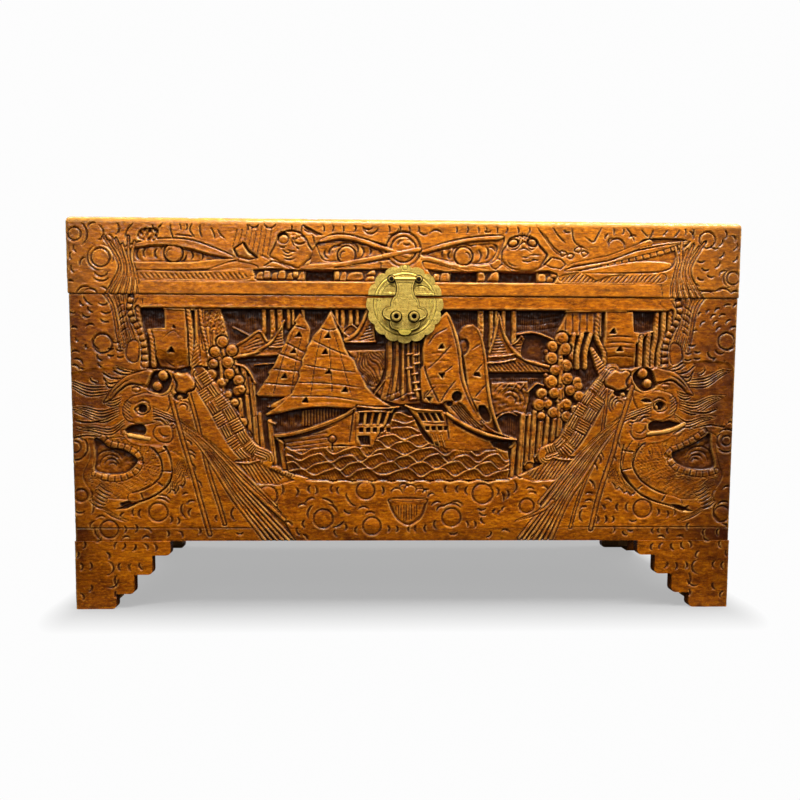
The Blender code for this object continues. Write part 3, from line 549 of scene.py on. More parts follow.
def drawTrees(f):
    # clustered round tops on a slim trunk
    lobes = mm("-280,410,9 -266,397,9 -291,395,8 -272,379,9 -294,377,7 -270,362,8 -297,360,8 -256,352,8 "
               "-282,348,7 -258,336,7 -272,330,6 -250,288,7 -245,267,8 -262,318,6 -293,339,7 -253,338,7")
    lobes += mm("237,418,10 223,406,8 243,402,9 222,388,9 245,377,9 228,370,8 247,357,9 222,352,10 "
                "252,339,8 208,334,8 227,335,8 204,317,9 218,318,7 246,317,9 226,305,8 247,299,8 208,299,6 "
                "262,352,7 266,330,8 264,345,7 260,310,6")
    for x, z, r in lobes:
        f.ball(x, z, r + 1.6, -7.5, 0)
    f.cord("-283,392 -281,350 -276,300", -4.5, 2, 6)
    f.cord("236,398 237,350 235,300", -3.6, 2.4, 8)
    for x, z, r in lobes:
        f.ball(x, z, r, -2.6, r * 0.26, 1.0 + 0.012 * (x % 7), x * 7)
        f.gouge(x + 0.6, z - 0.6, r * 0.62, 215 + (x % 5) * 12, 190, 1.1, 1.9)
        f.gouge(x - 0.5, z - 1.5, r * 0.3, 60, 150, 0.8, 1.6)
    for x, z in mm("-285,385 -262,372 -274,352 -296,345 214,398 236,390 214,362 236,345 214,326 234,322 "
                   "240,308"):
        f.ball(x, z, 3.6, -4.5, 2)


def drawBanners(f):
    # hangings and fluted posts at the top corners
    def screen(x, z):
        return -1.6 - 4.6 * np.clip((398 - z) / 24, 0, 1)
    f.fill("-366,458 -334,458 -332,430 -330,372 -350,368 -374,372 -381,392 -382,414 -390,421 -390,428 "
           "-366,428", screen, edge=2, drop=1.2, flow=False)
    f.cut("-372,412 -353,426 -340,414", 0.9, 2)
    patchHole(f, -357, 397, 5)
    f.fill("-354,430 -349,430 -352,434", -6, drop=0, flow=False)
    f.cut("-367,382 -356,374 -347,367", 1.1, 2.4)
    f.hatch("-391,422 -381,416 -378,392 -388,388", 55, 4.4, 1.4, 0.6, flow=False)
    f.fill("243,457 298,459 298,420 290,424 274,428 262,422 240,424 236,410 228,425",
           -3.2, drop=1.2, wear=0.4, flow=False)
    f.hatch("244,456 298,456 296,428 262,424 236,424", 90, 11, 1.1, 0.3, flow=False, wobble=2)
    f.fill("302,459 346,459 348,430 352,427 370,426 362,418 352,410 352,372 330,372 304,378 300,400 303,430",
           screen, edge=2, drop=1.2, flow=False)
    for z in (420, 411, 404, 390):
        f.cut([(304, z), (325, z + 2), (350, z)], 1.1, 3.4, 0.2)
    patchHole(f, 315, 429, 5)
    patchHole(f, 326, 402, 5)
    f.cord("242,458.5 300,459.6 335,459.6", -0.4, 2, 2.8)
    f.cord("-366,458.5 -334,457.8 -282,458", -0.4, 2, 2.8)
    f.cord("349,426.5 364,426 377,429", -1.4, 2, 2.6)
    f.cord("-391,427 -376,429 -364,428.6", -1.4, 2, 2.6)
    f.fill("-318,457 -281,457 -276,440 -272,420 -282,402 -300,402 -318,424", -3.2,
           drop=1.2, wear=0.4, flow=False)
    f.fill("-321,457 -281,457.5 -276,440 -270,414 -276,384 -300,372 -322,372",
           -3.4, drop=1.2, wear=0.5, flow=False)
    f.rough("-302,455 -283,455 -275,430 -282,414 -300,426", 4.2, 0.7, 9)
    for x, high, low, wide in mm("-317,456,368,6 -308,456,400,8 -300,430,366,7 -291,424,380,7"):
        f.cord([(x - 1, high), (x, (high + low) / 2), (x + 2, low)], -2.6, 2.2, wide)
    f.hatch("-284,456 -279,456 -270,416 -276,414", 130, 4.6, 1.1, 0.5, flow=False)
    twist = lambda u, v: -1.0 * scores(u, v, 52, 5.0, 0.8)
    for x0, x1 in mm("-405,-394 -330,-325 -312,-300 -388,-383"):
        high = 459 if x0 != -388 else 424
        knee = 430 if high > 430 else 412
        f.band([(x0, high), (x0 + 3, knee), (x1 - 1, 396), (x1, 374)], 8 if x0 < -320 else 6,
               -2.4, twist, drop=1.6, dome=1.2)
    for x0, x1, high in mm("404,396,459 394,388,459 383,378,455 372,370,424 360,359,420 292,303,455 "
                           "256,252,424 268,262,424 281,274,424"):
        f.band([(x0, high), (x0 - 1, 420), (x1, 396), (x1, 374)], 7.5, -2.8, twist, drop=1.6, dome=1.4)


def checkered(u, v):
    # a woven look: blocks scored one way, then the other
    block = (np.floor(u / 21) + np.floor((v + 40) / 19)) % 2
    grain = np.where(block > 0, scores(u, v, 0, 4.0, 0.62), scores(u, v, 90, 4.0, 0.62))
    v = v + 40
    gap = np.minimum(np.abs(u / 21 - np.round(u / 21)) * 21, np.abs(v / 19 - np.round(v / 19)) * 19)
    return -1.7 * grain - 1.5 * np.clip(1 - gap / 1.3, 0, 1)


def drawWovenBands(f):
    for side in (-1, 1):
        def at(points, s=side):
            return mirrored(points, s, 0, 0 if s > 0 else -6)
        if side > 0:
            f.band("284,402 291,388 298,374 306,362",
                   13, -2.2, lambda u, v: -1.4 * scores(u, v, 100, 4.6, 0.6),
                   ends=(0.5, 1.5), drop=1.4)
        else:
            f.band("-319,413 -319,396 -319,378 -318,356",
                   12, -2.0, lambda u, v: -1.2 * scores(u, v, 130, 4.4, 0.6),
                   ends=(0.2, 1.8), drop=1.4)
        f.band(at("316,366 303,346 286,321 270,294 256,268 238,247 218,238"), 38, -0.9, checkered,
               ends=(0.72, 0.8), drop=1.4)
        f.cut(at("300,366 284,343 267,320 251,293 236,268 219,252"), 2.6, 3.4, 0.1)
        f.fill(at("262,236 240,240 214,226 188,214 172,206 196,198 230,200 256,216"),
               -1.8, drop=0.8, flow=False)
        f.hatch(at("262,234 240,238 212,224 186,211 200,200 232,202 256,216"), 56 * side,
                4.8, 1.3, 0.55, flow=False, wobble=1.5)
        f.cord(at("262,233 244,232 226,236"), -0.4, 2, 3.4)


def nick(f, x, z, middle, r=7.0, sweep=95, depth=1.9, width=3.4):
    # one stroke of a round gouge, its middle at x, z, bowed towards an angle
    a = math.radians(middle)
    f.gouge(x - r * math.cos(a), z - r * math.sin(a), r, middle, sweep, depth, width)


def nicks(f, rows):
    for row in asPoints(rows):
        nick(f, *row)


def between(first, last, share):
    return [(a * (1 - share) + c * share, b * (1 - share) + d * share)
            for (a, b), (c, d) in zip(first, last)]


def drawReeds(f):
    left = (mm("-345,289 -308,264 -274,234 -243,204"), mm("-345,279 -318,254 -293,217 -263,168"),
            mm("-200,160 -195,149 -188,139 -173,107 -181,106 -190,106 -199,106 -208,106 -218,107"))
    right = (mm("330,299 288,262 258,230 231,196"), mm("328,285 302,249 276,206 250,166"),
             mm("206,165 212,153 176,109 183,107 191,106 199,106 208,106 217,107 226,108"))
    f.cord("-330,331 -317,280 -303,215 -288,165 -279,132", -0.3, 2.4, 6.5)
    f.cord("309,341 304,290 298,245 279,203 264,158 256,126", -0.6, 2.2, 5)
    for first, last, ends in (left, right):
        web = first + ends[:3] + ends[3:][::1] + last[::-1]
        f.fill(web, -2.2, drop=0.6, flow=False)
        for i, end in enumerate(ends):
            f.cord(between(first, last, i / (len(ends) - 1)) + [end], 0.3 - 0.5 * (i % 2),
                   2.8, 5.2 + 0.8 * (i % 3), (0.3, 0.95))
    f.cord("-358,328 -346,280 -328,215 -312,154 -302,116", -0.1, 2.6, 7.4)
    f.cord("347,345 337,308 327,275 320,243 310,211 299,174 288,124", -0.1, 2.6, 7.6)
    f.cord("170,137 196,146 216,156 228,168", -0.2, 2.2, 6, (0.2, 1.2))
    nicks(f, "196,112,140,16,60 -155,112,40,12,60 300,233,20,10,90 294,222,30,9,90")


def drawDragon(f, side):
    # its head faces the bay; the left one is a little broader and lower
    def spot(x, z):
        if side > 0:
            return x, z
        wide = 1.13 if x > 363 else 0.82
        return -(369 + wide * (x - 363)), z - 7 - 0.15 * max(0, x - 390)

    def at(points):
        return [spot(x, z) for x, z in asPoints(points)]

    def facing(angle):
        return angle if side > 0 else 180 - angle
    f.fill(at("345,372 352,340 340,300 350,262 400,262 425,285 455,287 500,292 506,372 470,385 430,384 "
              "400,376"), lambda x, z: -0.9 + 0.3 * uneven(x, z, 16, 4), edge=5, drop=-0.9)
    # combed locks of the mane, over the darkened ground behind them
    sheaves = [((437, 357), (462, 361), (484, 372), 4, -4.6, 20),
               ((423, 325), (446, 322), (470, 331), 5, -4.4, 30),
               ((416, 303), (434, 293), (458, 299), 3, -4.4, 28),
               ((419, 339), (428, 336), (437, 335), 3, -4.2, 3)]
    for a, b, c, count, drop, reach in sheaves:
        for i in range(count):
            k = drop * i
            tip = (c[0] + reach * (0.8 - 0.06 * i), c[1] + k * 0.25 + (1 if reach > 25 else 0))
            f.cord(at([(a[0], a[1] + k * 0.8), (b[0], b[1] + k), (c[0], c[1] + k * 0.7), tip]),
                   -0.3 - 0.3 * (i % 2), 2.0, 3.6, (0.8, 0.4))
            f.cut(at([(a[0], a[1] + k * 0.8 - 2), (b[0], b[1] + k - 2.2), (c[0], c[1] + k * 0.7 - 1.8),
                      (tip[0], tip[1] - 0.8)]), 1.7, 2.2, 0.2)
    for a, b, c in (mm("402,373 414,378 424,385"), mm("406,371 418,374 428,381"),
                    mm("418,367 431,370 442,380"),
                    mm("424,362 434,362 441,372"), mm("428,356 434,356 438,364"),
                    mm("450,365 456,369 458,374"),
                    mm("448,284 470,288 494,284"), mm("440,308 462,307 480,313")):
        f.cord(at([a, b, c]), -0.3, 2.2, 3.4, (1, 0.3))
        f.cut(at([(x + 1.6, z - 2) for x, z in (a, b, c)]), 2.4, 3, 0.15)
    # brow
    f.fill(at("369,369 376,373 385,375 398,372 413,368 427,357 436,345 443,332 432,335 421,346 408,355 "
              "396,352 388,351 383,345 377,350 375,359"), 0, edge=3.4, drop=2.6, dome=0)
    f.cut(at("401,364 414,359 426,350 434,340"), 1.5, 2.6)
    f.cut(at("382,346 398,353 410,354 424,344"), 2.2, 3.4, 0.2)
    # socket, horn and eye
    f.fill(at("348,362 356,372 366,375 376,370 381,358 384,347 378,341 366,338 356,342 350,351"),
           -8.5, drop=0)
    f.fill(at("346,362 350,353 357,343 366,338.5 378,341 386,346 380,337 366,334 354,338 346,348"),
           -0.2, edge=2.2, drop=1.8)
    f.ball(*spot(363, 365.5), 8, 0, 3.6)
    f.ball(*spot(371, 350), 7.2, 0, 3.6)
    f.ring(*spot(371, 350), 4.6, 0.7, 1.8)
    f.ball(*spot(399, 345.5), 4.6, -0.4, 2, 1.4)
    nick(f, *spot(399, 350.5), 90, 9, 100, 1.8, -3)
    # snout
    lobe = at("303,355 307,361 312,366 320,370.5 328,368 337,371 345,366 342,359 339,351 341,344 332,339 "
              "325,337 317,342 306,346")
    f.fill([(x, z - 2) for x, z in lobe], -5, drop=0)
    f.fill(lobe, 0, edge=4, drop=3, dome=0.2)
    nick(f, *spot(339, 351), facing(180), 12, 90, 2.0, 3.6)
    f.fill(at("319,337 334,340 344,336 340,329 322,331"), -6.5, drop=0)
    f.ball(*spot(333, 331.5), 4.6, -1, 2.4)
    for r in (6, 10.5, 15):
        f.gouge(*spot(327, 316), r, facing(100 + r * 2), 200, 1.7, 3)
    # cheek and nostril
    f.fill(at("347,341 364,336 384,340 398,338 410,333 418,318 413,302 400,294 392,292 380,293 366,300 "
              "352,318"), -0.2, edge=3, drop=2.0)
    f.fill(at("380,317.5 385.5,323.5 393,324 399,318.5 398,310.5 390,306.5 383,310"), -0.8, edge=2, drop=1.6)
    f.ball(*spot(391, 316), 6.4, -8.5, 0.5)
    f.ball(*spot(399, 316) if side < 0 else spot(386, 313), 3.4, -1.6, 2)
    nick(f, *spot(392, 307), 270, 11, 150, 1.9, 3.4)
    nick(f, *spot(390, 327), 90, 12, 120, 1.8, 3.0)
    if side > 0:
        f.fill(at("362,324 370,326 377,322 368,321"), -4.5, drop=0)
    f.hatch(at("406,328 414,330 418,318 414,306 404,302 408,314"), 40 * side, 3.8, 1.3, 0.6)
    # lips, whiskers and jaw
    for k in range(3):
        f.cord(at([(344, 300 - 6 * k), (352, 298 - 6 * k), (358, 304 - 5 * k), (366, 311 - 5 * k),
                   (376, 311 - 5 * k)]), -0.5, 2, 3)
        f.cut(at([(344, 297 - 6 * k), (353, 295 - 6 * k), (360, 301 - 5 * k), (368, 308 - 5 * k),
                  (378, 308 - 5 * k)]), 2.2, 3, 0.15)
    for k in (0, 3.6, 7.2):
        f.cord(at([(306, 282 - k), (322, 292 - k), (342, 303.5 - k), (376, 317 - k)]), 0, 2.2, 2.8, (0.8, 1))
        f.cut(at([(308, 281 - k), (323, 290 - k), (343, 301.5 - k), (377, 315 - k)]), 2.2, 2.2, 0.1)
    f.fill(at("350,290 364,291 374,289 378,277 370,266 354,264 346,274"), -0.3, edge=3, drop=2.0)
    f.gouge(*spot(360, 283), 9, facing(300), 150, 1.6, 3)
    if side > 0:
        f.fill(at("375,287 384,292.5 396,291 407,293 417,290 428,287.5 420,284 408,279.5 392,277 377,277.5"),
               -8, drop=0)
        f.cord(at("374,272.5 396,275 409,278"), 0.4, 2.4, 7, (1, 1), flow=False)
        f.cord(at("411,279 420,282.5 430,288"), 0.4, 2.4, 6.6)
        teeth = at("374,272.5 396,275 410,278.5 420,282.5 430,288")
    else:
        f.fill(at("387,283 391,291 400,293 409,291.5 415,286 411,281 401,278 391,276"), -8, drop=0)
        teeth = at("383,270 397,273.5 409,278")
        f.cord(teeth, 0.4, 2.4, 7, (0.9, 1), flow=False)
        f.ball(*spot(417, 283), 4.6, -0.2, 2)
    # painted highlight along the teeth
    at, x, z, _ = f.near(np.array(teeth), 4)
    f.shine[at] = np.maximum(f.shine[at], 1.1 * np.clip(3.2 - nearest(smooth(teeth), x, z)[0], 0, 1))


def drawBodyOfDragon(f, side):
    if side > 0:
        belly = mm("336,253 333,236 333,218 341,203 355,189 368,178 389,169 411,163 433,155")
        back = mm("434,284 412,273 389,267 371,260 358,248 353,234 352,221 361,204 373,193 390,183 413,175")
        pool = mm("412,240 422,247 444,257 462,268 471,272 473,250 480,223 466,217 444,217.5 422,226")
        upper = mm("405,240 412,248 426,254 446,265 462,278")
        lower = mm("409,232 420,219 446,211 466,210 483,215")
        ticks = mm("333,215,350,219 360,186,367,192 399,168,404,177 334,247,352,244")
        tail = (447, 152)
    else:
        belly = mm("-372,256 -364,243 -359,228 -358,212 -363,196 -378,182 -396,172 -414,167 -434,162")
        back = mm("-434,266 -416,262 -398,255 -384,245 -376,233 -373,220 -375,207 -385,195 -400,186 "
                  "-422,179")
        pool = mm("-410,229 -418,239 -434,247 -452,250 -466,262 -474,262 -472,236 -474,214 -458,209 "
                  "-440,208 -422,214")
        upper = mm("-406,233 -413,243 -430,251 -450,256 -464,268")
        lower = mm("-405,226 -414,212 -436,202 -458,203 -476,209")
        ticks = mm("-358,213,-374,214 -372,190,-380,197 -402,170,-406,180 -366,246,-380,240")
        tail = (-443, 155)
    away = pool[4:7]
    f.fill(back + [(side * 424, 170), (side * 470, 176), (side * 492, 204)]
           + [(x + side * 8, z) for x, z in away[::-1]],
           -0.5, edge=2, drop=0.8)
    # the skin is scratched with short uneven strokes that turn along the body
    skin = smooth(back + [(side * 452, 166), (side * 476, 186), (side * 486, 206)] + away[::-1], True)
    at, x, z, h = f.near(skin, 1)
    d, cover = f.inside(skin, x, z)
    turn = np.radians(108 + 0.55 * (z - 215))
    across = (x * side * np.sin(turn) - z * np.cos(turn)) / 5.2 + 0.4 * uneven(x, z, 13, 4)
    along = (x * side * np.cos(turn) + z * np.sin(turn)) / 11 + 0.5 * (np.round(across) % 2)
    stroke = np.clip(1 - 3.4 * np.abs(across - np.round(across)), 0, 1)
    stroke = stroke * np.clip(1.5 - 3.6 * np.abs(along - np.round(along)), 0, 1)
    f.h[at] = h - cover * 1.15 * stroke * np.clip(0.75 + 0.5 * uneven(x, z, 17, 8), 0, 1)
    f.fill([(x, z - 3) for x, z in belly] + [(tail[0] - side * 6, tail[1] + 9)]
           + [(x, z + 3) for x, z in belly[::-1]], -4.6, drop=0)
    f.band([((a + c) / 2, (b + d) / 2) for (a, b), (c, d) in zip(belly, back[3:] + [back[-1]])],
           17, 0, edge=2.2, drop=1.6,
           ends=(0.8, 0.95), dome=0)
    f.cut(back, 2.4, 3.2, 0.08, lean=0.4)
    for x0, z0, x1, z1 in ticks:
        f.cut([(x0, z0), (x1, z1)], 1.9, 2.8, 0.05)
    f.fill(pool, lambda x, z: -6.8 + 2.6 * np.clip((side * x - 418) / 40, 0, 1), drop=0)
    ribs = lambda u, v: -1.6 * np.clip(1 - np.abs(u / 10 - np.round(u / 10)) * 10 / 1.4, 0, 1)
    f.band(upper, 9, 0, ribs, drop=1.8, edge=2)
    f.band(lower, 9, 0, ribs, drop=1.8, edge=2)
    cx, cz = (447, 236) if side > 0 else (-445, 228)
    for r in (6, 11, 16, 22):
        f.gouge(cx + side * (2 + 0.3 * r), cz - 10 + 0.2 * r, r, 90 + side * (24 - 2 * r),
                120 + 3 * r, 1.3, 3)
    f.rough(pool, 14, 0.5, 7)
    # fur, claws and the tip of the tail
    fur = mm("318,222 330,214 336,206 347,194 357,184 349,176 342,184 338,180 331,190 326,186 319,198 "
             "314,196 311,210") if side > 0 else \
        mm("-345,232 -357,216 -362,204 -371,190 -366,178 -360,186 -354,178 -348,192 -343,188 -338,202 "
           "-331,202 -334,218")
    f.sink(fur, 1.1, slope=9)
    f.hatch(fur, 90 + side * 24, 2.9, 0.9, 0.5, wobble=7)
    for (x0, z0), (x1, z1) in zip(fur[4:-3], fur[5:-2]):
        f.cut([(x0, z0), ((x0 + x1) / 2 + 2, (z0 + z1) / 2), (x1, z1)], 2.0, 3.2, 0.4, lean=0.5)
    if side < 0:
        f.cord("-364,246 -351,242 -338,228 -331,210", -0.2, 1.6, 2.6, (0.4, 0.4))
        for points in (mm("-334,247 -327,244 -321,238"), mm("-332,240 -326,238 -322,232"),
                       mm("-318,262 -312,258 -306,250"),
                       mm("-330,226 -325,222 -322,214"), mm("-336,262 -330,258 -327,252"),
                       mm("-322,200 -316,196 -313,188")):
            f.cut(list(points), 1.8, 3.2, 0.3, lean=0.3)
    else:
        for points in (mm("320,262 327,258 331,250"), mm("298,246 303,240 306,232"),
                       mm("316,240 322,236 326,230"),
                       mm("304,216 309,210 311,203"), mm("286,200 291,194 293,186")):
            f.cut(list(points), 1.8, 3.2, 0.3, lean=0.3)
    f.fill([tail, (tail[0] - side * 20, tail[1] + 9), (tail[0] - side * 34, tail[1] + 10),
            (tail[0] - side * 16, tail[1] + 1)],
           -6.5, drop=0, flow=False)
    f.cord([(side * 426, 138), (side * 446, 146), (side * 462, 156), (side * 478, 160)],
           -0.2, 2, 3.2, (0.6, 0.6))
    f.cut([(side * 428, 135), (side * 448, 143), (side * 464, 153)], 1.6, 3)
    f.cord([(side * 448, 188), (side * 460, 193), (side * 470, 202), (side * 486, 207)],
           -0.2, 2, 3, (0.5, 0.8))
    for i in range(6):
        x0, z0 = side * (449 + 3 * i), 182 - 5 * i
        f.cord([(x0, z0), (x0 + side * 9, z0 + 4), (x0 + side * 18, z0 + 11)], -0.3, 2.2, 3, (0.5, 0.9))
        f.cut([(x0, z0 - 2.2), (x0 + side * 9, z0 + 1.6), (x0 + side * 18, z0 + 8.4)], 2.0, 2.8)


def drawSheaf(f, side, low=True):
    # a bundle of stems that runs from the lid's corner down the body's
    spread = mm("-14,0 -9,2 -4,-1 1,1 6,0 11,2")
    for i, (dx, dz) in enumerate(spread):
        if low:
            path = [(438 + dx * 1.5, 482), (432 + dx, 462 + dz), (428 + dx * 0.9, 440),
                    (424 + dx * 1.1, 420 + dz), (419 + dx * 1.2, 400)]
        else:
            path = [(432 + dx * 1.8, 556 + 4 * dz), (424 + dx * 0.9, 535), (420 + dx * 0.9, 515 + dz),
                    (424 + dx * 1.5, 496), (430 + dx * 1.9, 480)]
        f.cord(mirrored(path, side), -0.7 - 0.5 * (i % 2), 2.2, 5, (1, 0.7))
    if low:
        for i in range(5):
            z = 466 - i * 9
            f.cut(mirrored([(424 - i, z), (431 - i, z - 3), (436 - i, z - 9)], side), 1.9, 2.8)
        f.band(mirrored("414,476 417,458 412,442 404,428 399,415 396,398 397,374", side), 9.5, -1.2,
               lambda u, v: -2.0 * np.clip(1 - np.abs(u / 10 - np.round(u / 10)) * 10 / 1.8, 0, 1)
               + 0.5 * np.cos(u / 10 * math.tau + 3.1),
               edge=2.4, drop=1.8)
        f.cut(mirrored("402,478 412,462 424,448 430,436", side), 1.6, 3)
        f.fill(mirrored("404,408 414,412 422,404 424,388 416,378 405,382", side), -1.4, edge=3, drop=1.4)
        nicks(f, [(side * x, z, 270, 10, 60, 2.2, 3.8)
                  for x, z in mm("446,398 446,388 438,408 432,396 432,386")])


def drawCornerClouds(f):
    # gouge strokes rayed and ringed round small suns, in every free corner
    f.ring(491, 415, 12, 1.6, 3.2)
    f.ring(497, 354, 13, 1.6, 3.2)
    f.ring(-458, 406, 13.5, 2.0, 4)
    f.ring(497, 262, 7, 1.4, 3)
    f.ring(-503, 250, 8, 1.4, 3)
    nicks(f, "468,453,135 483,455,100 472,443,135 492,445,130 477,434,135 474,463,130 488,427,110 "
             "447,456,150,6,80 460,460,140,5 500,436,110,8 500,404,300,14 466,392,225,10 480,397,250,10 "
             "473,386,160,6 440,430,120,8 452,442,140,7 484,382,280,9 497,336,270,19 480,349,180,14 "
             "496,300,90,12 500,290,100,8 483,262,180,16 497,245,270,17 497,279,90,17 500,316,90,9 "
             "-479,468,225,20,60 -488,465,220,7 -476,455,225,8 -482,446,250,9 -451,451,275,9,120 "
             "-454,464,280,10,120 -455,439,250,9 -476,434,100,9 -496,411,220,5 -482,401,210,5 "
             "-500,394,100,10 -493,381,60,10 -498,372,60,10 -476,363,0,7 -470,404,210,19,70 -464,384,220,8 "
             "-462,372,230,9 -488,366,40,8 -498,328,260,8,130 -486,322,40,6 -500,265,80,14 -485,250,0,18 "
             "-497,232,290,18 -492,290,100,10 -500,300,90,8 -503,452,250,8 -500,430,90,8 503,470,120,8 "
             "490,470,100,8 -497,350,100,8")


def drawCloudBorder(f):
    for x, z, r in mm("-128,140,14 -53,128.5,13 70,142,13.5 118,179,15 187,160,10.5 -380,150.5,13.5 "
                      "-213,176,14 368.5,156,13.5 -455,124,13 -63,184,13 -496,176,9 494,147,12"):
        f.ring(x, z, r, 1.8, 3)
        f.ball(x, z, r - 0.5, 0.0, 1.2)
    # the bowl of fruit in the middle
    bowl = mm("-25,171 -23,158 -14,141 -4,133 3,131 10,133 22,143 28,158 30,171")
    f.cut(bowl, 2.2, 4, 0.1, lean=-0.3)
    f.fill([(x, z + 0.5) for x, z in bowl], -0.2, edge=5, drop=1.6)
    f.cord("-24,171 2,168.5 30,171", -0.2, 1.6, 2.6)
    f.hatch("-16,160 20,161 16,145 0,136 -12,144", 90, 4, 0.8, 0.5, wobble=1.5)
    for x, z, r in mm("-15,178,9 6,182,10 22,178,9 -4,187,7"):
        f.gouge(x, z, r, 90, 170, 1.6, 3)
    nicks(f, "-106,184,180,8 -116,186,180,7 -36,184,0,12,70 60,186,180,8 78,186,180,8 92,184,180,9 "
             "142,182,0,9 158,178,0,9 170,190,0,13 20,190,100,8 29,184,120,8 37,178,120,8 -93,127,0,7 "
             "-78,122,180,8 -27,124,0,7 -14,124,0,7 4,124,180,7 14,124,180,7 29,125,180,8 44,130,190,10 "
             "95,132,20,7 107,131,0,8 73,116,270,9 117,154,270,9 45,165,110,10 52,158,120,10 78,166,80,14 "
             "70,163,90,20 -92,150,240,8 -66,158,90,12 -56,150,90,10 -88,168,215,26,60 -120,168,60,26,50 "
             "-112,158,50,20,60 -150,152,160,22,60 -104,130,300,24,50 -150,170,120,12 -138,184,0,9 "
             "-167,182,0,9 -150,186,180,8 -190,185,0,16,70 -161,162,100,9 -180,134,60,9 -159,132,180,9 "
             "-230,176,175,18,70 -168,120,200,9 136,152,150,5 144,150,150,5 150,156,150,5 118,146,250,8 "
             "118,136,210,8 155,122,80,9 150,175,10,30,30 196,181,80,9 192,188,90,8 -372,170,70,20,60 "
             "-370,175,70,24,50 -419,150,180,8 -409,148,180,9 -360,139,0,8 -349,137,0,8 -344,152,190,18,80 "
             "-331,167,110,9 -339,179,110,6 -333,150,170,9 -430,124,0,8 -413,125,0,9 -395,124,60,8 "
             "-480,178,0,9 -468,144,100,9 -478,160,0,26,60 -317,121,0,6 -256,117,270,7 -268,148,180,14 "
             "-292,141,180,6 -345,117,30,8 -482,132,150,9 -436,146,150,8 -500,150,260,12 "
             "-475,118,200,24,50 328,158,180,8 343,158,180,10 394,150,0,8 409,147,0,8 284,180,90,8 "
             "284,169,90,8 275,158,110,8 271,145,180,14 299,139,0,9 312,139,0,8 323,139,0,7 315,170,70,7 "
             "308,158,30,6 354,136,270,8 341,116,230,7 350,121,260,6 420,150,0,8 479,178,170,12 "
             "482,150,190,18 476,164,150,9 495,166,100,12 440,128,170,8 385,121,180,6 395,121,180,6 "
             "409,121,180,6 276,204,60,9 288,196,30,9 466,118,180,8 488,118,180,8 500,190,100,9 "
             "325,123,0,8 -365,117,0,7 -110,117,200,8 130,114,320,8 215,190,60,8 500,130,60,8")
    for points in (mm("-262,228 -240,227 -216,221 -199,219"),
                   mm("-238,200 -225,201 -212,196 -199,199 -181,195")):
        f.cord(list(points), 0.1, 1.4, 2.8, (0.5, 0.8))
    f.cut("-510,126 -430,126 -350,126.5 -232,126", 1.2, 1.6, 0.02)
    f.cut("232,126.5 330,127 430,127 510,126.5", 1.2, 1.6, 0.02)
    f.hatch("-262,226 -236,224 -200,216 -170,206 -204,200 -240,206", 62, 4.6, 1.2, 0.6)
    f.hatch("262,226 236,224 200,216 172,206 204,200 240,206", -62 + 180, 4.6, 1.2, 0.6)


def drawBodyRail(f):
    f.fill("-396,484 -398,462 -397,460.4 397,460.4 398,462 386,470 392,484",
           0, edge=1.8, drop=1.0, flow=False)


def drawFeetOn(f, half):
    rows = mm("492,99,190 470,107,230 446,100,20 432,97,200 416,95,200 398,98,150 384,96,170 497,66,180 "
              "483,67,180 441,66,0 425,65,0 409,66,340 456,84,160 430,112,80 400,112,80 484,32,200 "
              "497,20,160 447,22,350 503,84,200")
    for side in (-1, 1):
        nicks(f, [(side * (x + half - 508), z, m if side > 0 else 180 - m, 8) for x, z, m in rows])
        x0 = side * (half - 47)
        f.gouge(x0, 64, 11, 185 if side > 0 else -5, 170, 1.6, 3)
        f.gouge(x0 - side * 6, 46, 12, 240 if side > 0 else 300, 120, 1.6, 3)
        nick(f, x0 - side * 14, 44, 0 if side > 0 else 180, 20, 60)


def drawFront(f):
    drawSeaBay(f)
    drawTown(f)
    drawWaves(f)
    drawLeftJunk(f)
    drawRightJunk(f)
    drawCliffs(f)
    drawBanners(f)
    drawTrees(f)
    drawCloudBorder(f)
    # the wood is painted darker in soft patches round the dragons' manes and at the ends
    for x, z, wide, tall, dark in front["darkPatches"]:
        f.grime += dark * np.exp(-((f.X - x) / wide) ** 2
                                 - ((f.Z - z) / tall) ** 2) * (1 + 0.8 * uneven(f.X, f.Z, 26, 31))
    drawCornerClouds(f)
    drawFeetOn(f, 508)
    drawWovenBands(f)
    for side in (-1, 1):
        drawBodyOfDragon(f, side)
        drawSheaf(f, side)
        drawDragon(f, side)
    drawReeds(f)
    drawBodyRail(f)


# the lid's front: ribbons crossing at the lock, with lens-shaped openings, faces and clouds

def strip(f, top, bottom, level, pattern=None, drop=1.2, edge=1.8):
    # a ribbon between two lines
    f.fill(list(top) + list(bottom)[::-1], level, edge=edge, drop=drop)
    if pattern:
        f.hatch(list(top) + list(bottom)[::-1], *pattern)


def drawLens(f, side, top, low, ball, strokes):
    f.fill(top + low[::-1], lambda x, z: -3.0 + 0.7 * uneven(x, z, 13, 3), edge=2, drop=1.6)
    x, z, r = ball
    f.ball(x, z, r, -1.0, 1.2)
    f.ring(x, z, r + 0.5, 1.9, 2.8)
    f.gouge(x + 3 * side, z - 1.5, r * 0.52, 90 - 60 * side, 150, 1.6, 2.8)
    f.gouge(x, z, r + 5, 100, 150, 1.5, 3.2)
    nicks(f, strokes)


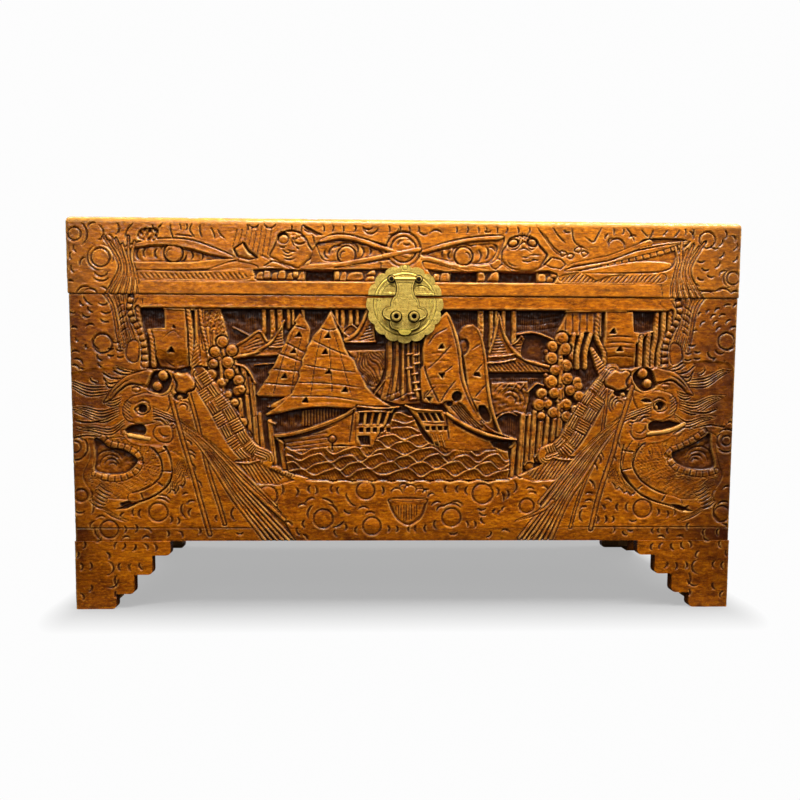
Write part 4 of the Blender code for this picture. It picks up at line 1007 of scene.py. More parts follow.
def drawLeftRibbons(f):
    # lens on the left, with its two ribbons
    f.fill("-428,546 -389,560 -350,563 -321,560 -290,550 -257,535 -257,528 -297,515 -411,514 -420,530",
           -2.0, drop=0)
    drawLens(f, -1, mm("-420,542 -389,549 -358,550 -326,545 -293,537 -266,533"),
             mm("-415,528 -380,528 -326,528 -290,531"), (-350, 541, 13),
             mm("-404,538,180,10 -394,540,180,9 -377,540,180,10 -322,537,0,9 -307,536,0,8 -334,532,320,9"))
    strip(f, mm("-425,547 -389,559 -350,562 -321,559 -293,550 -271,541 -256,534"),
          mm("-422,544 -389,550.5 -358,552 -326,547 -293,538.5 -266,533.6"), -0.2)
    strip(f, mm("-414,527 -380,527.5 -326,527.5 -292,531.5 -256,533.5"),
          mm("-411,516.5 -350,515.5 -297,517.5 -271,527 -256,532"), -0.5)
    strip(f, mm("-298,517 -278,525 -260,529 -240,527 -226,523"), mm("-290,515.5 -253,519.6 -226,518.5"),
          -0.8)
    strip(f, mm("-402,515 -340,514 -293,515.5 -253,518.5 -230,517 -228,508"),
          mm("-398,502 -340,502 -249,501.5 -234,507"), -0.6)
    f.hatch("-400,511 -250,513 -234,508 -250,503 -398,503.5", -52, 5.8, 1.2, 0.45, flow=False)


def drawHeads(f):
    # two beasts' heads between the lenses, half hidden in leaves
    left = mm("-207,540 -201,551 -196,562 -187,573 -166,574 -152,563 -146,552 -139.5,543 -147,533 -154,527 "
              "-163,518.5 -177,522.5 -190,527 -198,531.5 -206,535.5")
    f.fill([(x + 0.8, z + 0.6) for x, z in left], -2.6, drop=0)
    f.fill(left, -0.3, edge=5, drop=2.4, dome=0)
    f.fill("-157,584 -150,576 -142,568 -136,550 -124,537 -131,527 -136,531 -142,542 -147,551 -152,562 "
           "-160,572", -0.5, edge=3, drop=1.6)
    f.ball(-187, 564.5, 8.4, -5.5, 0.5)
    f.ball(-186, 562, 6.8, -0.7, 2.6, 1.15, 20)
    f.fill("-170,561 -161.5,566.5 -152.5,560.5 -158,556.5 -166,557", -0.1, edge=2.4, drop=1.8)
    f.cut("-172,559 -163,554.8 -152,558", 2.2, 3.2)
    f.cut("-161,568 -157,567.5 -153.5,564.5", 2.6, 3.6)
    f.cut("-150.8,557.5 -145.8,550 -140,544", 2.2, 3)
    f.cut("-167,551 -164.5,549 -162.5,547", 2.4, 3)
    f.rough("-180,570 -160,571 -163,563 -177,563", 5, 0.9, 4)
    for points in (mm("-181,547 -175,544.5 -167,544"), mm("-189,548 -182,542 -174,543"),
                   mm("-188,540 -180,537 -172,539"),
                   mm("-186,534 -178,532 -169,534"), mm("-193,552 -187,550 -182,552"),
                   mm("-174,562 -172,556 -169,551")):
        f.cut(list(points), 1.7, 3, 0.3)
    f.cut("-148.5,530 -143,536 -135,527.5", 2.6, 3.2, 0.2)
    f.fill("-147,529.5 -142,533.5 -137,528.5", -0.6, edge=2, drop=1.4, flow=False)
    right = mm("141,540 143,531.5 150,525.5 160,520 172,518 185,517.5 198,521 204,529 211,541.5 206,548.5 "
               "197,558.5 192,566 180,570 166,571 153,566 148,556 142,548")
    f.fill([(x + 0.8, z + 0.6) for x, z in right], -2.6, drop=0)
    f.fill(right, -0.2, edge=6, drop=2.6, dome=0)
    f.cord("139,568 133,558 131.5,545 133,536", -0.6, 2, 7, (0.6, 0.8))
    for x, z, turn in ((159.3, 559.8, 14), (188.3, 560.6, -14)):
        f.ball(x, z, 6.6, -3.6, 0.3, 1.35, turn)
        f.ball(x, z + 0.3, 5, -0.5, 2, 1.3, turn)
    f.ball(175, 557.2, 4.6, 0.1, 1.4)
    f.cut("150,556 156,551 164,551.5 170,558 176,561.5 181,556 187,550 195,555", 1.9, 3, 0.1)
    f.cut("168,550 176,552 182,549.5 187,545.5", 1.7, 3, 0.2)
    f.rough("167,573 184,573 183,563 168,563", 4.5, 1.5, 8)
    for points in (mm("180,541.5 190,542.5 203,542"), mm("171,540 177,538.5 184,539.5"),
                   mm("172,534 180,532 188,533"),
                   mm("150,533 157,527 167,525"), mm("186,534.5 193,535 199,534")):
        f.cut(list(points), 1.7, 3, 0.3)


def drawLidLeft(f):
    drawLeftRibbons(f)
    f.fill("-402,562 -396,575 -372,575 -376,560 -388,559", -2.4, drop=0.5)
    f.rough("-402,560 -396,577 -372,577 -376,558", 6, 1.0, 2)
    for points in (mm("-354,584 -353,572 -349,560"), mm("-310,584 -310,572 -307,563"),
                   mm("-294,578 -290,570 -288,562"),
                   mm("-284,576 -280,568 -273,562"), mm("-347,567 -333,566 -318,564"),
                   mm("-365,584 -373,574 -378,563"),
                   mm("-322,584 -325,574 -318,563"), mm("-408,584 -418,572 -421,560"),
                   ((-381, 582), (-376, 570))):
        f.cut(list(points), 1.9, 3, 0.2, lean=0.3)
    f.hatch("-262,560 -256,576 -204,578 -206,540 -232,538 -240,556 -262,548", 80, 7.5, 0.8, 0.4, wobble=6)
    f.fill("-261,548 -246,558 -238,545 -224,534 -238,531 -256,535", 0, edge=6, drop=3.4, flow=False)
    f.cut("-246,558 -238,545 -224,534", 3.4, 5, 0.15)
    f.cut("-261,548 -257,541 -254,535", 2.4, 4, 0.15)
    f.ring(-457.5, 533, 13, 1.9, 3)
    f.gouge(-457.5, 533, 18.5, 200, 170, 1.7, 3)
    f.gouge(-457.5, 533, 19, 30, 110, 1.6, 3)
    f.gouge(-457.5, 533, 26, 40, 120, 1.6, 3)
    f.ring(-495, 567, 9, 1.5, 3)
    nicks(f, "-477,567,0,20,110 -453,569,0,13,120 -430,574,350,12,100 -457,506,270,11,130 "
             "-457,499,270,16,90 -487,488,120,14,120 -472,486,80,12,110 -500,515,200,8 -496,545,200,8 "
             "-502,535,180,8 -440,562,30,10 -470,582,120,9 -437,500,320,12 -448,484,40,16 -486,528,150,10 "
             "-504,498,100,8")
    drawHeads(f)
    f.fill("-219,538 -205,534 -192,527 -176,519 -200,521 -216,523 -205,529", -0.3, edge=2, drop=1.6)
    f.cut("-216,522 -201,529.5 -174,519.5", 2.0, 3)
    f.fill("122,531 127,534.5 139,536.5 143,529 138,522 130,521 125,526", -0.4, edge=3, drop=2.2)
    f.fill("133,519 138,525 144,528 151,523 158,518 146,516", -0.2, edge=3, drop=2.2)
    f.fill("205,529 212,535 218,539.5 232,537 240,529 232,521 216,524", -0.3, edge=3, drop=2.0, flow=False)
    f.cut("199,521 207,528 219,540", 2.2, 3.4)


def drawLockLenses(f):
    # lens left of the lock and right of it
    f.fill("-138,555 -115,570 -86,570 -50,560 -12,549 -10,538 -60,528 -140,520 -146,530", -2.2, drop=0)
    drawLens(f, -1, mm("-136,556 -118,561 -100,562 -82,560 -60,554 -40,546"),
             mm("-134,545 -126,532 -104,530.5 -71,535 -42,540"), (-92, 540, 12.5),
             mm("-67,545,0,11 -77,553,30,12 -115,549,140,12 -56,546,0,7 -124,540,200,9 -105,553,100,10"))
    strip(f, mm("-134,561 -115,569 -87,569 -60,562 -38,554 -14,546"),
          mm("-130,558 -104,563 -82,561 -60,555 -38,548 -18,545"), -0.1)
    strip(f, mm("-162,520 -148,526 -104,529 -60,537 -34,542 -6,547"),
          mm("-156,517 -104,522 -60,529.5 -34,536 -10,541"), -0.1)
    strip(f, mm("-110,521 -80,524 -44,530 -40,522"), mm("-104,517 -70,516 -44,518"), -1.0)
    f.fill("23,545 49,558 93,568 142,571 142,552 128,530 93,526 60,530 24,539", -2.2, drop=0)
    drawLens(f, 1, mm("30,543 49,549 93,556 134,557"), mm("32,540 60,533 93,529 124,532"), (84, 540, 12.5),
             mm("98,541,0,14 110,541,0,13 121,545,0,14 62,541,180,8 52,543,180,6 128,552,60,8"))
    strip(f, mm("21,548 49,557.5 93,567 141,571"), mm("24,544 49,550.5 93,561 137,564.5"), -0.1)
    strip(f, mm("18,539 41,536.5 71,527 104,524 134,518"), mm("20,533.5 49,528 82,520.5 130,516.5"), -0.1)
    f.fill("22,531 36,530 60,524 84,517 60,515 30,518", -1.0, edge=2, drop=1.2)
    f.ball(-6.7, 549, 25.5, -0.8, 1.0)
    f.ring(-6.7, 549, 18.5, 1.9, 2.8)
    f.ring(-6.7, 549, 25.5, 1.9, 2.8)
    strip(f, mm("-38,554 -14,546.5 4,541"), mm("-38,548.5 -16,541.5 2,536"), -0.1)
    strip(f, mm("-36,542 -6,548 18,552"), mm("-34,536 -8,541.5 18,546"), 0)
    nicks(f, "-12,560,130,8 4,562,60,8 -2,556,270,6")


def drawStones(f):
    # stones and openings above the plain rail
    f.fill("-232,517 -226,501 -40,501 -30,520 -60,519 -110,518 -160,517 -200,519", -4.2, drop=0, flow=False)
    f.fill("30,520 40,501 222,501 228,512 214,519 170,518 110,517 60,516", -4.2, drop=0, flow=False)
    for x0, x1 in mm("-153.5,-111 65,105 138,196"):
        f.fill([(x0, 501.5), (x1, 501.5), (x1 - 1, 516), (x0 + 1, 516)], -10, drop=0, edge=0.8, flow=False)
        f.rough([(x0, 501.5), (x1, 501.5), (x1, 516), (x0, 516)], 7, 0.8, 5, flow=False)
    stones = mm("-222,508,7,6 -211,510,6,7 -199,508,6,6 -189,510,7,7 -177,508,6,6 -168,511,5,5 "
                "-160,508,6,7 -106,509.5,4.5,7 -97,508,6,7 -79,508.5,13,7 -57,505,8,4.5 -55,514,7,4 "
                "-42,508,6,6 44,508,6,6 56,508.5,8,7.5 112,509.5,6,7.5 130,509.5,9,7.5 204,508,7,7 "
                "216,506,6,5 222,512,5,4")
    for x, z, a, b in stones:
        k = (x * 7 % 5) / 5  # no two alike
        f.fill([(x - a, z - b * 0.8), (x - a * (0.6 + 0.5 * k), z + b * (0.3 + 0.5 * k)),
                (x - a * 0.3 * k, z + b), (x + a * 0.8, z + b * (1 - 0.5 * k)),
                (x + a, z - b * 0.5), (x + a * 0.4, z - b)], -1.2, edge=3, drop=2.4, wear=0.5)


def drawLongLeaves(f):
    # long leaves on the right
    f.fill("240,521 262,530 300,541 345,558 364,568 426,566 410,545 392,520 300,516 262,519", -2.2, drop=0)
    strip(f, mm("250,531 280,538 306,544 345,559 366,567"), mm("244,526 280,531 310,537 352,553 372,560"),
          -0.2)
    strip(f, mm("240,522 280,530 310,536 352,551 425,565"), mm("246,518 290,526 330,534 380,547 416,557"),
          -0.6)
    f.band("293,527 324,533 358,541 389,549 412,557", 7, -1.0,
           lambda u, v: -1.8 * np.clip(1 - np.abs(u / 11 - np.round(u / 11)) * 11 / 1.4, 0, 1),
           ends=(0.3, 1), drop=1.4)
    strip(f, mm("262,519 301,527 352,534.5 400,532"), mm("276,516 330,517 388,520"), -0.4)
    strip(f, mm("229,510 245,515 262,517.5 276,511 288,504"), mm("233,503 255,502 288,502"), -0.6)
    strip(f, mm("288,505 304,511 323,514 388,517"), mm("284,502 330,502 386,502.5"), -0.6)
    f.hatch("232,509 262,516 286,505 323,513 386,515 386,503 234,503",
            50, 5.2, 1.2, 0.5, flow=False, wobble=1.5)
    f.cord("352,553.5 385,560 425,565", 0, 2, 2.6)
    for points in (mm("194,584 208,566 222,548 238,538"), mm("205,575 218,556 232,545 244,541"),
                   mm("247,584 252,562 271,551"),
                   mm("266,571 280,562 286,570 293,584"), mm("218,584 226,572 238,560"),
                   mm("330,584 338,574 344,563"),
                   ((352, 582), (364, 570)), mm("372,582 368,572 365,566"), ((394, 582), (386, 572)),
                   ((412, 582), (404, 570))):
        f.cut(list(points), 1.9, 3, 0.2, lean=0.3)
    for x, z, k in mm("257,551,1 268,545,-0.6 246,541,0.5 236,545,-1"):
        f.fill([(x - 6, z - 2 * k), (x - 1 + k, z + 4.5), (x + 6, z + 1 + k), (x + 3 * k, z - 5)],
               0.0, edge=4, drop=2.2)
    f.gouge(316, 555, 12, 90, 210, 1.9, 3.2)
    f.ring(455, 567, 11.5, 1.8, 3)
    f.ring(497, 510, 9, 1.5, 3)
    nicks(f, "305,565,150,8 340,572,100,8 300,571,150,6 477,562,330,8 439,548,260,8 479,544,320,8 "
             "446,534,270,8 473,529,320,9 453,522,260,8 479,519,130,9 466,555,250,9 500,556,330,8 "
             "497,570,30,8 484,575,0,9 500,538,320,8 483,510,180,16 446,508,250,8 462,512,260,8 "
             "438,500,90,10 455,490,95,18 484,494,80,16 500,490,100,8 432,575,30,9")
    f.cut("400,488 420,492 442,492 460,490 477,492 492,497 508,499", 1.5, 2.8)


def drawLidRail(f):
    # short strokes along the top board's edge
    for i, x in enumerate((-127, -113, -98, -80, -29, -13, 1, 15, 72, 89, 105, 117, 133, 148, 165, 182, 310,
                           325, 420, 432, -340, -330, -240, -175)):
        f.cut([(x, 584), (x + 1.5, 579), (x + 1 - 2 * (i % 2), 573)], 1.8, 3, 0.25, lean=0.3)
    nicks(f, "-56,572,270,12,150 -60,578,270,9,120 42,577,90,11,120 -230,579,270,7,150 -206,579,270,9,150 "
             "-20,572,300,14,90 22,572,250,9 -150,574,250,9 120,576,270,7 240,577,260,8")
    f.fill("-157,583 -145,578 -128,569 -138,568 -150,575", -2.4, drop=0.4, flow=False)
    for side in (-1, 1):
        drawSheaf(f, side, low=False)
    # the plain rail
    rail = mm("-398,500.5 -404,492 -402,479 390,479 388,492 386,500.5")
    f.fill(rail, 0, edge=2, drop=1.2, flow=False)


def drawLidFront(f):
    for part in (drawLidLeft, drawLockLenses, drawStones, drawLongLeaves, drawLidRail):
        part(f)


def scatterClouds(f, low, high, keepOut, seed, pitch=44):
    # small suns with arcs of gouge strokes round them, wherever the wood is still bare
    rng = np.random.default_rng(seed)
    suns = []
    for row, z in enumerate(np.arange(low[1] + 14, high[1] - 8, pitch)):
        for x in np.arange(low[0] + 14 + (row % 2) * pitch / 2, high[0] - 10, pitch):
            a, b, r = x + rng.uniform(-9, 9), z + rng.uniform(-8, 8), rng.uniform(8.5, 13.5)
            if keepOut(a, b, r + 7):
                continue
            suns.append((a, b, r))
            f.ring(a, b, r, 1.8, 3)
            f.ball(a, b, r - 0.5, 0.0, 1.2)
    for a, b, r in suns:
        turn = rng.uniform(0, 360)
        for i in range(rng.integers(4, 8)):
            angle = turn + i * 47 + rng.uniform(-9, 9)
            far = r + rng.uniform(7.5, 12.5)
            x, z = a + far * math.cos(math.radians(angle)), b + far * math.sin(math.radians(angle))
            if not keepOut(x, z, 4) and low[0] + 3 < x < high[0] - 3 and low[1] + 3 < z < high[1] - 3:
                nick(f, x, z, angle, rng.uniform(7, 13), rng.uniform(65, 100))


def pineTree(f, x, z, tall, seed):
    rng = np.random.default_rng(seed)
    f.cord([(x, z), (x + 4, z + tall * 0.5), (x - 2, z + tall)], -3.6, 2.6, 9, (1.2, 0.7))
    for _ in range(int(tall / 7)):
        a, b = x + rng.uniform(-20, 20), z + tall * 0.35 + rng.uniform(0, tall * 0.75)
        f.ball(a, b, 10.5, -7.5, 0)
        f.ball(a, b, 8.8, -2.2, 2.4)
        f.gouge(a, b - 0.6, 5.4, 225, 190, 1.1, 1.9)


def drawSide(f):
    bay = mm("-140,460.5 -166,460 -171,456 -167,436 -164,405 -172,340 -156,270 -118,232 -66,216 -33,219 "
             "0,214 33,219 66,216 118,232 156,270 172,340 164,405 167,436 171,456 166,460 140,460.5")
    shape = smooth(bay, True)

    def keepOut(x, z, r):
        d = nearest(shape, np.array([float(x)]), np.array([float(z)]), True)[0][0]
        return z > 452 - r or d < r + 9 or bool(within(shape, np.array([float(x)]), np.array([float(z)]))[0])
    f.fill([(x * 1.055, 330 + (z - 330) * 1.055) for x, z in bay], -1.0, edge=8, drop=-1.0)
    f.fill(bay, front["ground"], edge=1.2, drop=0)
    f.hatch(bay, 90, 4.2, 0.7, 0.8, wobble=1.2)
    f.rough(bay, 12, 0.6, 3)
    town = f.placed(-10, 0)
    drawPagoda(town, 1, 98, 388)
    for x, low in mm("-128,396 -112,388 -96,404 -60,430 -44,436 60,420 84,426"):
        f.cord([(x, 458), (x + 0.5, 430), (x, low)], -3.8, 2.6, 8, flow=False)
    drawPagoda(f, -1, -92, 372)
    for x, high, low in mm("-152,330,262 -140,345,250 -128,322,240 126,318,240 138,340,250 150,330,262"):
        f.cord([(x, high), (x, (high + low) / 2), (x, low)], -4, 3, 9, (1, 1.1))
    drawWaves(f, mm("-150,268 -80,272 0,274 80,272 150,268 120,236 66,219 0,217 -66,219 -120,236"))
    drawLeftJunk(f.placed(112, -2, 0.98))
    pineTree(f, -150, 300, 110, 4)
    pineTree(f, 150, 296, 120, 7)
    f.cord("-169,458 -164,405 -172,340 -156,270 -118,232 -66,216", 0, 2.4, 4)
    f.cord("169,458 164,405 172,340 156,270 118,232 66,216", 0, 2.4, 4)
    scatterClouds(f, (-250, 108), (250, 470), keepOut, 11)
    rail = mm("-254,482 -254,461 254,461 254,482")
    f.fill(rail, 0, edge=1.8, drop=1, flow=False)
    f.cut("-250,126 0,126 250,126", 1.2, 1.6, 0.02)
    drawFeetOn(f, 254)


def drawLidSide(f):
    f.fill("-200,503 -196,566 196,566 200,503", -0.6, edge=3, drop=-0.6, flow=False)
    drawLeftRibbons(f.placed(176, 0, 0.94))
    drawLeftRibbons(f.placed(-176, 0, 0.94, flip=True))
    f.ball(0, 540, 21, -0.8, 1)
    f.ring(0, 540, 13, 1.9, 2.8)
    f.ring(0, 540, 20, 1.9, 2.8)
    scatterClouds(f, (-252, 500), (252, 580), lambda x, z, r: abs(x) < 214 + r * 0.4, 23, 34)
    nicks(f, [(x, 577 - 3 * (x % 2), 270, 9, 110) for x in range(-196, 200, 17)])
    f.fill("-254,500.5 -254,479 254,479 254,500.5", 0, edge=2, drop=1.2, flow=False)


def drawTop(f):
    # a long cartouche: the bay again, smaller, with a dragon at each end
    outer = mm("-452,0 -440,120 -380,178 -250,196 0,200 250,196 380,178 440,120 452,0 440,-120 380,-178 "
               "250,-196 0,-200 -250,-196 -380,-178 -440,-120")
    shape = smooth(outer, True)

    def keepOut(x, z, r):
        at = np.array([float(x)]), np.array([float(z)])
        return bool(within(shape, *at)[0]) or nearest(shape, *at, True)[0][0] < r + 8
    f.band(outer + outer[:1], 13, -0.2, lambda u, v: -1.5 * scores(u, v, 48, 7.0, 0.5), drop=1.6)
    f.cut(shape, 2.2, 3.6, 0.001)
    for scale in (0.955, 1.04):
        f.cut([(x * scale, z * scale) for x, z in outer + outer[:1]], 1.7, 3.2, 0.001)
    scene = f.placed(0, -272, 0.86)
    drawSeaBay(scene)
    drawTown(scene)
    drawWaves(scene)
    drawLeftJunk(scene)
    drawRightJunk(scene)
    drawCliffs(scene)
    drawBanners(scene)
    drawTrees(scene)
    drawWovenBands(scene)
    for side in (-1, 1):
        drawBodyOfDragon(scene, side)
        drawDragon(scene, side)
    drawReeds(scene)
    clouds = smooth("-350,130 0,148 350,130 420,60 425,-20 380,-130 200,-112 0,-104 -200,-112 -380,-130 "
                    "-425,-20 -420,60", True)

    def inScene(x, z, r):
        at = np.array([float(x)]), np.array([float(z)])
        inner = within(smooth([(a * 0.93, b * 0.93) for a, b in outer], True), *at)[0]
        return (not inner) or bool(within(clouds, *at)[0]) or nearest(clouds, *at, True)[0][0] < r
    scatterClouds(f, (-450, -200), (450, 200), inScene, 31, 40)
    scatterClouds(f, (-498, -244), (498, 244), keepOut, 37, 42)
    outline = mm("-500,-246 500,-246 500,246 -500,246 -500,-246")
    f.cut(outline, 1.4, 2.6, 0.001, flow=False)


# the chest's outer faces in mm from its middle, its heights, and its inner faces; lid and feet stand proud
bodySize = {"wide": 506.5, "deep": 254.0, "front": 252.5}
lidSize = {"wide": 508.0, "deep": 254.0, "top": 594.0, "bottom": 480.2}
feetTop, innerHalfWide, innerHalfDeep, ceiling, floorTop = 106, 489.5, 237.5, 575.5, 124


def easeEdges(f, distance, r):
    # rounds an outer edge over
    d = np.clip(distance, -0.5, r)
    f.h = f.h - np.where(distance < r, r - np.sqrt(np.clip(r * r - (r - d) ** 2, 0, None)), 0)


def haspOutline():
    # half of the hasp, round by round, and its mirror image
    half = mm("14.4,501.4 12.4,493.8 12.1,488 14.4,479.6 19.1,474.6 21.1,468.8 21.1,463.8")
    for x, z, r, a, b in mm("24.5,453.8,9,90,-70 14.4,437.9,8.4,30,-80 2.0,429.2,8,-15,-80"):
        half += [(x + r * math.cos(math.radians(t)), z + r * math.sin(math.radians(t)))
                 for t in np.linspace(a, b, 8)]
    return np.array([(x - 4, z) for x, z in half] + [(-x - 4, z) for x, z in half[::-1]])


def drawPlate(f):
    # the lock plate: a raised ring near its scalloped edge, short rays, two leaves and a boss
    far, turn = np.hypot(f.X + 4, f.Z - 467.5), np.degrees(np.arctan2(f.Z - 467.5, f.X + 4))
    f.h -= 0.3
    for r, wide in ((45.5, 0.9), (39.5, 0.5)):
        f.h += 0.34 * np.exp(-((far - r) / wide) ** 2)
    f.h -= 0.26 * np.exp(-((far - 47.6) / 0.7) ** 2) + 0.16 * np.exp(-((far - 42.8) / 0.5) ** 2)
    dish = np.clip((far - 47.5) / 6, 0, 1)
    f.h += 0.4 * dish * np.abs(np.cos(np.radians(turn * 8))) ** 0.5 - 0.2 * dish
    for x in (-45, -41, 33, 37):  # little knurled strips beside the hasp
        f.band([(x, 472), (x + 1.5, 440)], 2.2, -0.2, lambda u, v: -0.3 * scores(u, v, 90, 1.8),
               edge=0.5, drop=0.3)
    for leaf in (mm("-36,484 -35,492 -28,498 -20,495.5 -16,489 -20,484"),
                 mm("9,491 13,496 25,496 34,490 38,484 16,484")):
        f.fill(leaf, -0.5, edge=0.8, drop=-0.3)
        f.cord(leaf + leaf[:1], -0.12, 0.4, 1.1)
    f.gouge(20, 478, 17, 75, 90, 0.35, 1.2)
    f.ball(-4, 522, 3.6, 0.1, 0.5)
    f.ring(-4, 522, 4.2, 0.3, 1)
    # painted shadows: rings round the nail eyes and the posts, a line along the hasp's outline and along the
    # plates' join
    for x, z, r in mm("-24.5,504.7,5.4 16.5,504.7,5.4 -17.35,448.5,8.6 9.35,448.5,8.6"):
        f.grime = np.maximum(f.grime, np.clip(1.4 - np.abs(np.hypot(f.X - x, f.Z - z) - r) / 1.3, 0, 1))
    beside = nearest(haspOutline(), f.X, f.Z, True)[0]
    f.grime = np.maximum(f.grime, np.clip(1.25 - beside / 1.5, 0, 1))
    f.grime = np.maximum(f.grime, np.clip(1.2 - np.abs(f.Z - 480.2) / 0.8, 0, 1))


def drawHaspPlate(f):
    # the hasp: a rim round each lobe, and the barrel left standing
    f.h[:] = 0.0
    inward = nearest(haspOutline(), f.X, f.Z, True)[0]
    f.h += 0.3 * np.exp(-((inward - 1.1) / 0.7) ** 2) - 0.16 * np.exp(-((inward - 2.9) / 0.6) ** 2)
    f.gouge(-4, 485, 9, 270, 150, 0.2, 1.2)
    f.ball(-4, 475, 1.6, 0.25, 0.3)
    f.fill("-13,428.5 5,428.5 4,418 -12,418", 0.12, edge=2, drop=0.4)
    for x in (-17.35, 9.35):  # painted shadow in the rings that the posts stand in
        r = np.hypot(f.X - x, f.Z - 448.5)
        f.h -= 0.25 * np.clip(1.5 - np.abs(r - 8) / 0.9, 0, 1)
        f.grime = np.maximum(f.grime, np.clip(1.6 - np.abs(r - 8.2) / 1.0, 0, 1))
    # lighter on the lowest lobe and along the barrel
    f.shine = np.clip((431 - f.Z) / 2, 0, 1) + np.clip((f.Z - 499) / 2, 0, 1)
    f.h[f.Z > 500.5] = 1.6


def faceFor(name):
    step = carving[{"front": "frontStep", "lidFront": "frontStep", "top": "topStep"}.get(name, "sideStep")]
    step = step
    lows = {"front": (-512, -4), "lidFront": (-512, 476), "side": (-258, -4), "lidSide": (-258, 476),
            "top": (-512, -258), "back": (-512, -4)}
    highs = {"front": (512, 484), "lidFront": (512, 598), "side": (258, 484), "lidSide": (258, 598),
             "top": (512, 258), "back": (512, 598)}
    face = CarvedFace(lows[name], highs[name], 3.0 if name == "back" else step)
    draw = {"front": drawFront, "lidFront": drawLidFront, "side": drawSide, "lidSide": drawLidSide,
            "top": drawTop}.get(name)
    if draw:
        draw(face)
    # hand-planed wood is never quite flat, and the deeper it is cut the more the chisel shows
    deep = lidSize["deep"]
    half = bodySize["wide"] if name in ("front", "back") else lidSize["wide"]
    wide = deep if "ide" in name else half
    inside = np.minimum(wide - np.abs(face.X), (deep if name == "top" else 9999.0) - np.abs(face.Z))
    fade = np.clip(inside / (4 if "ront" in name else 9), 0, 1)
    face.h = face.h * fade * fade * (3 - 2 * fade)
    chips = blurred(np.random.default_rng(9).normal(size=face.h.shape), 1.3 / face.step)
    chips = chips / chips.std() * np.clip((-face.h - 0.6) / 4, 0.42, 1)
    face.h = face.h + 0.18 * uneven(face.X, face.Z, 46, 12) + 0.07 * uneven(face.X, face.Z, 13, 13)
    face.h = face.h + 0.2 * chips + np.clip(0.5 * (face.h - blurred(face.h, 2.3 / face.step)), -0.35, 0.35)
    face.h = np.minimum(face.h - 0.45, -0.04)
    if name == "top":
        easeEdges(face, np.minimum(lidSize["wide"] - np.abs(face.X), deep - np.abs(face.Z)), 9.5)
    else:
        proud = (face.Z < feetTop) | (face.Z > lidSize["bottom"])
        wide = np.where(proud, deep if "ide" in name else lidSize["wide"], wide)
        easeEdges(face, wide - np.abs(face.X), 2.6)
        easeEdges(face, np.where(face.Z > 540, lidSize["top"] - face.Z, 99), 9.5)
        easeEdges(face, np.where(face.Z > 400, np.abs(face.Z - lidSize["bottom"]) - 0.25, 99), 1.6)
        easeEdges(face, np.where((face.Z > feetTop) & (face.Z < 140), face.Z - feetTop, 99), 1.3)
    return face


# making it solid: each board is its own solid, cut back to the carved faces that it shows

ways = {  # the axes that a face's grid runs along, the axis it looks along, and which way
    "front": (0, 2, 1, -1), "lidFront": (0, 2, 1, -1), "right": (1, 2, 0, 1), "left": (1, 2, 0, -1),
    "lidRight": (1, 2, 0, 1), "lidLeft": (1, 2, 0, -1), "top": (0, 1, 2, 1), "back": (0, 2, 1, 1),
    "plateUpper": (0, 2, 1, -1), "plateLower": (0, 2, 1, -1), "hasp": (0, 2, 1, -1)}
faceOf = {"right": "side", "left": "side", "lidRight": "lidSide", "lidLeft": "lidSide"}
faces = {}
for faceName in ("front", "lidFront", "side", "lidSide", "top", "back"):
    faces[faceName] = face = faceFor(faceName)
    # painted shade, partly staining gathered in the cuts: darker in grooves, in broad hollows and the deeper
    # the cut, with the painted darkening and shadows added
    soft, broad = blurred(face.h, 1.7 / face.step), blurred(face.h, 6.5 / face.step)
    deep = np.clip((-face.h - 2.6) / 7.4, 0, 1) ** 1.3
    face.recess = np.clip((0.95 + 0.3 * uneven(face.X, face.Z, 30, 21))
                          * np.clip((soft - face.h - 0.08) / 1.3, 0, 1)
                          + 0.6 * np.clip((broad - face.h) / 4.5, 0, 1) + 0.68 * deep + face.grime, 0, 1)
    # ridges lighter, in patches: wear and painted highlight
    patchyWearAndHighlight = np.clip(0.65 + 0.6 * uneven(face.X, face.Z, 24, 22), 0.1, 1.3)
    face.worn = patchyWearAndHighlight * np.clip((face.h - soft - 0.1) / 0.6, 0, 1) * (1 - 0.5 * deep) + face.shine
    if faceName in ("lidFront", "top"):
        # painted light over the lid's front and top, strongest as a painted highlight along the front top
        # edge
        nose = face.Z - 582 if faceName == "lidFront" else -face.Z - 246
        face.worn = face.worn + 0.12 + 0.8 * np.clip(nose / 8, 0, 1)
    print("carved", faceName, face.h.shape)
for faceName, draw in (("plateUpper", drawPlate), ("plateLower", drawPlate), ("hasp", drawHaspPlate)):
    face = CarvedFace((-66, 404), (58, 530), 0.5)
    draw(face)
    face.h = face.h + 0.09 * uneven(face.X, face.Z, 5, 4) + 0.08 * uneven(face.X, face.Z, 1.9, 5) - 0.14
    # painted shade in the grooves with the painted shadows, and ridges lighter: wear and painted highlight
    soft = blurred(face.h, 0.9 / face.step)
    face.recess = np.maximum(np.clip((soft - face.h - 0.03) / 0.16, 0, 1) * 0.8, face.grime)
    face.worn = np.clip(0.8 * np.clip((face.h - soft) / 0.12, 0, 1) + face.shine, 0, 1)
    faces[faceName] = face


def sampled(grid, face, u, v):
    # the grid's value at any point, between its four nearest
    a = np.clip((u - face.low[0]) / face.step, 0, grid.shape[1] - 1.001)
    b = np.clip((v - face.low[1]) / face.step, 0, grid.shape[0] - 1.001)
    i, j = a.astype(int), b.astype(int)
    a, b = a - i, b - j
    near = grid[j, i] * (1 - a) + grid[j, i + 1] * a
    far = grid[j + 1, i] * (1 - a) + grid[j + 1, i + 1] * a
    return near * (1 - b) + far * b


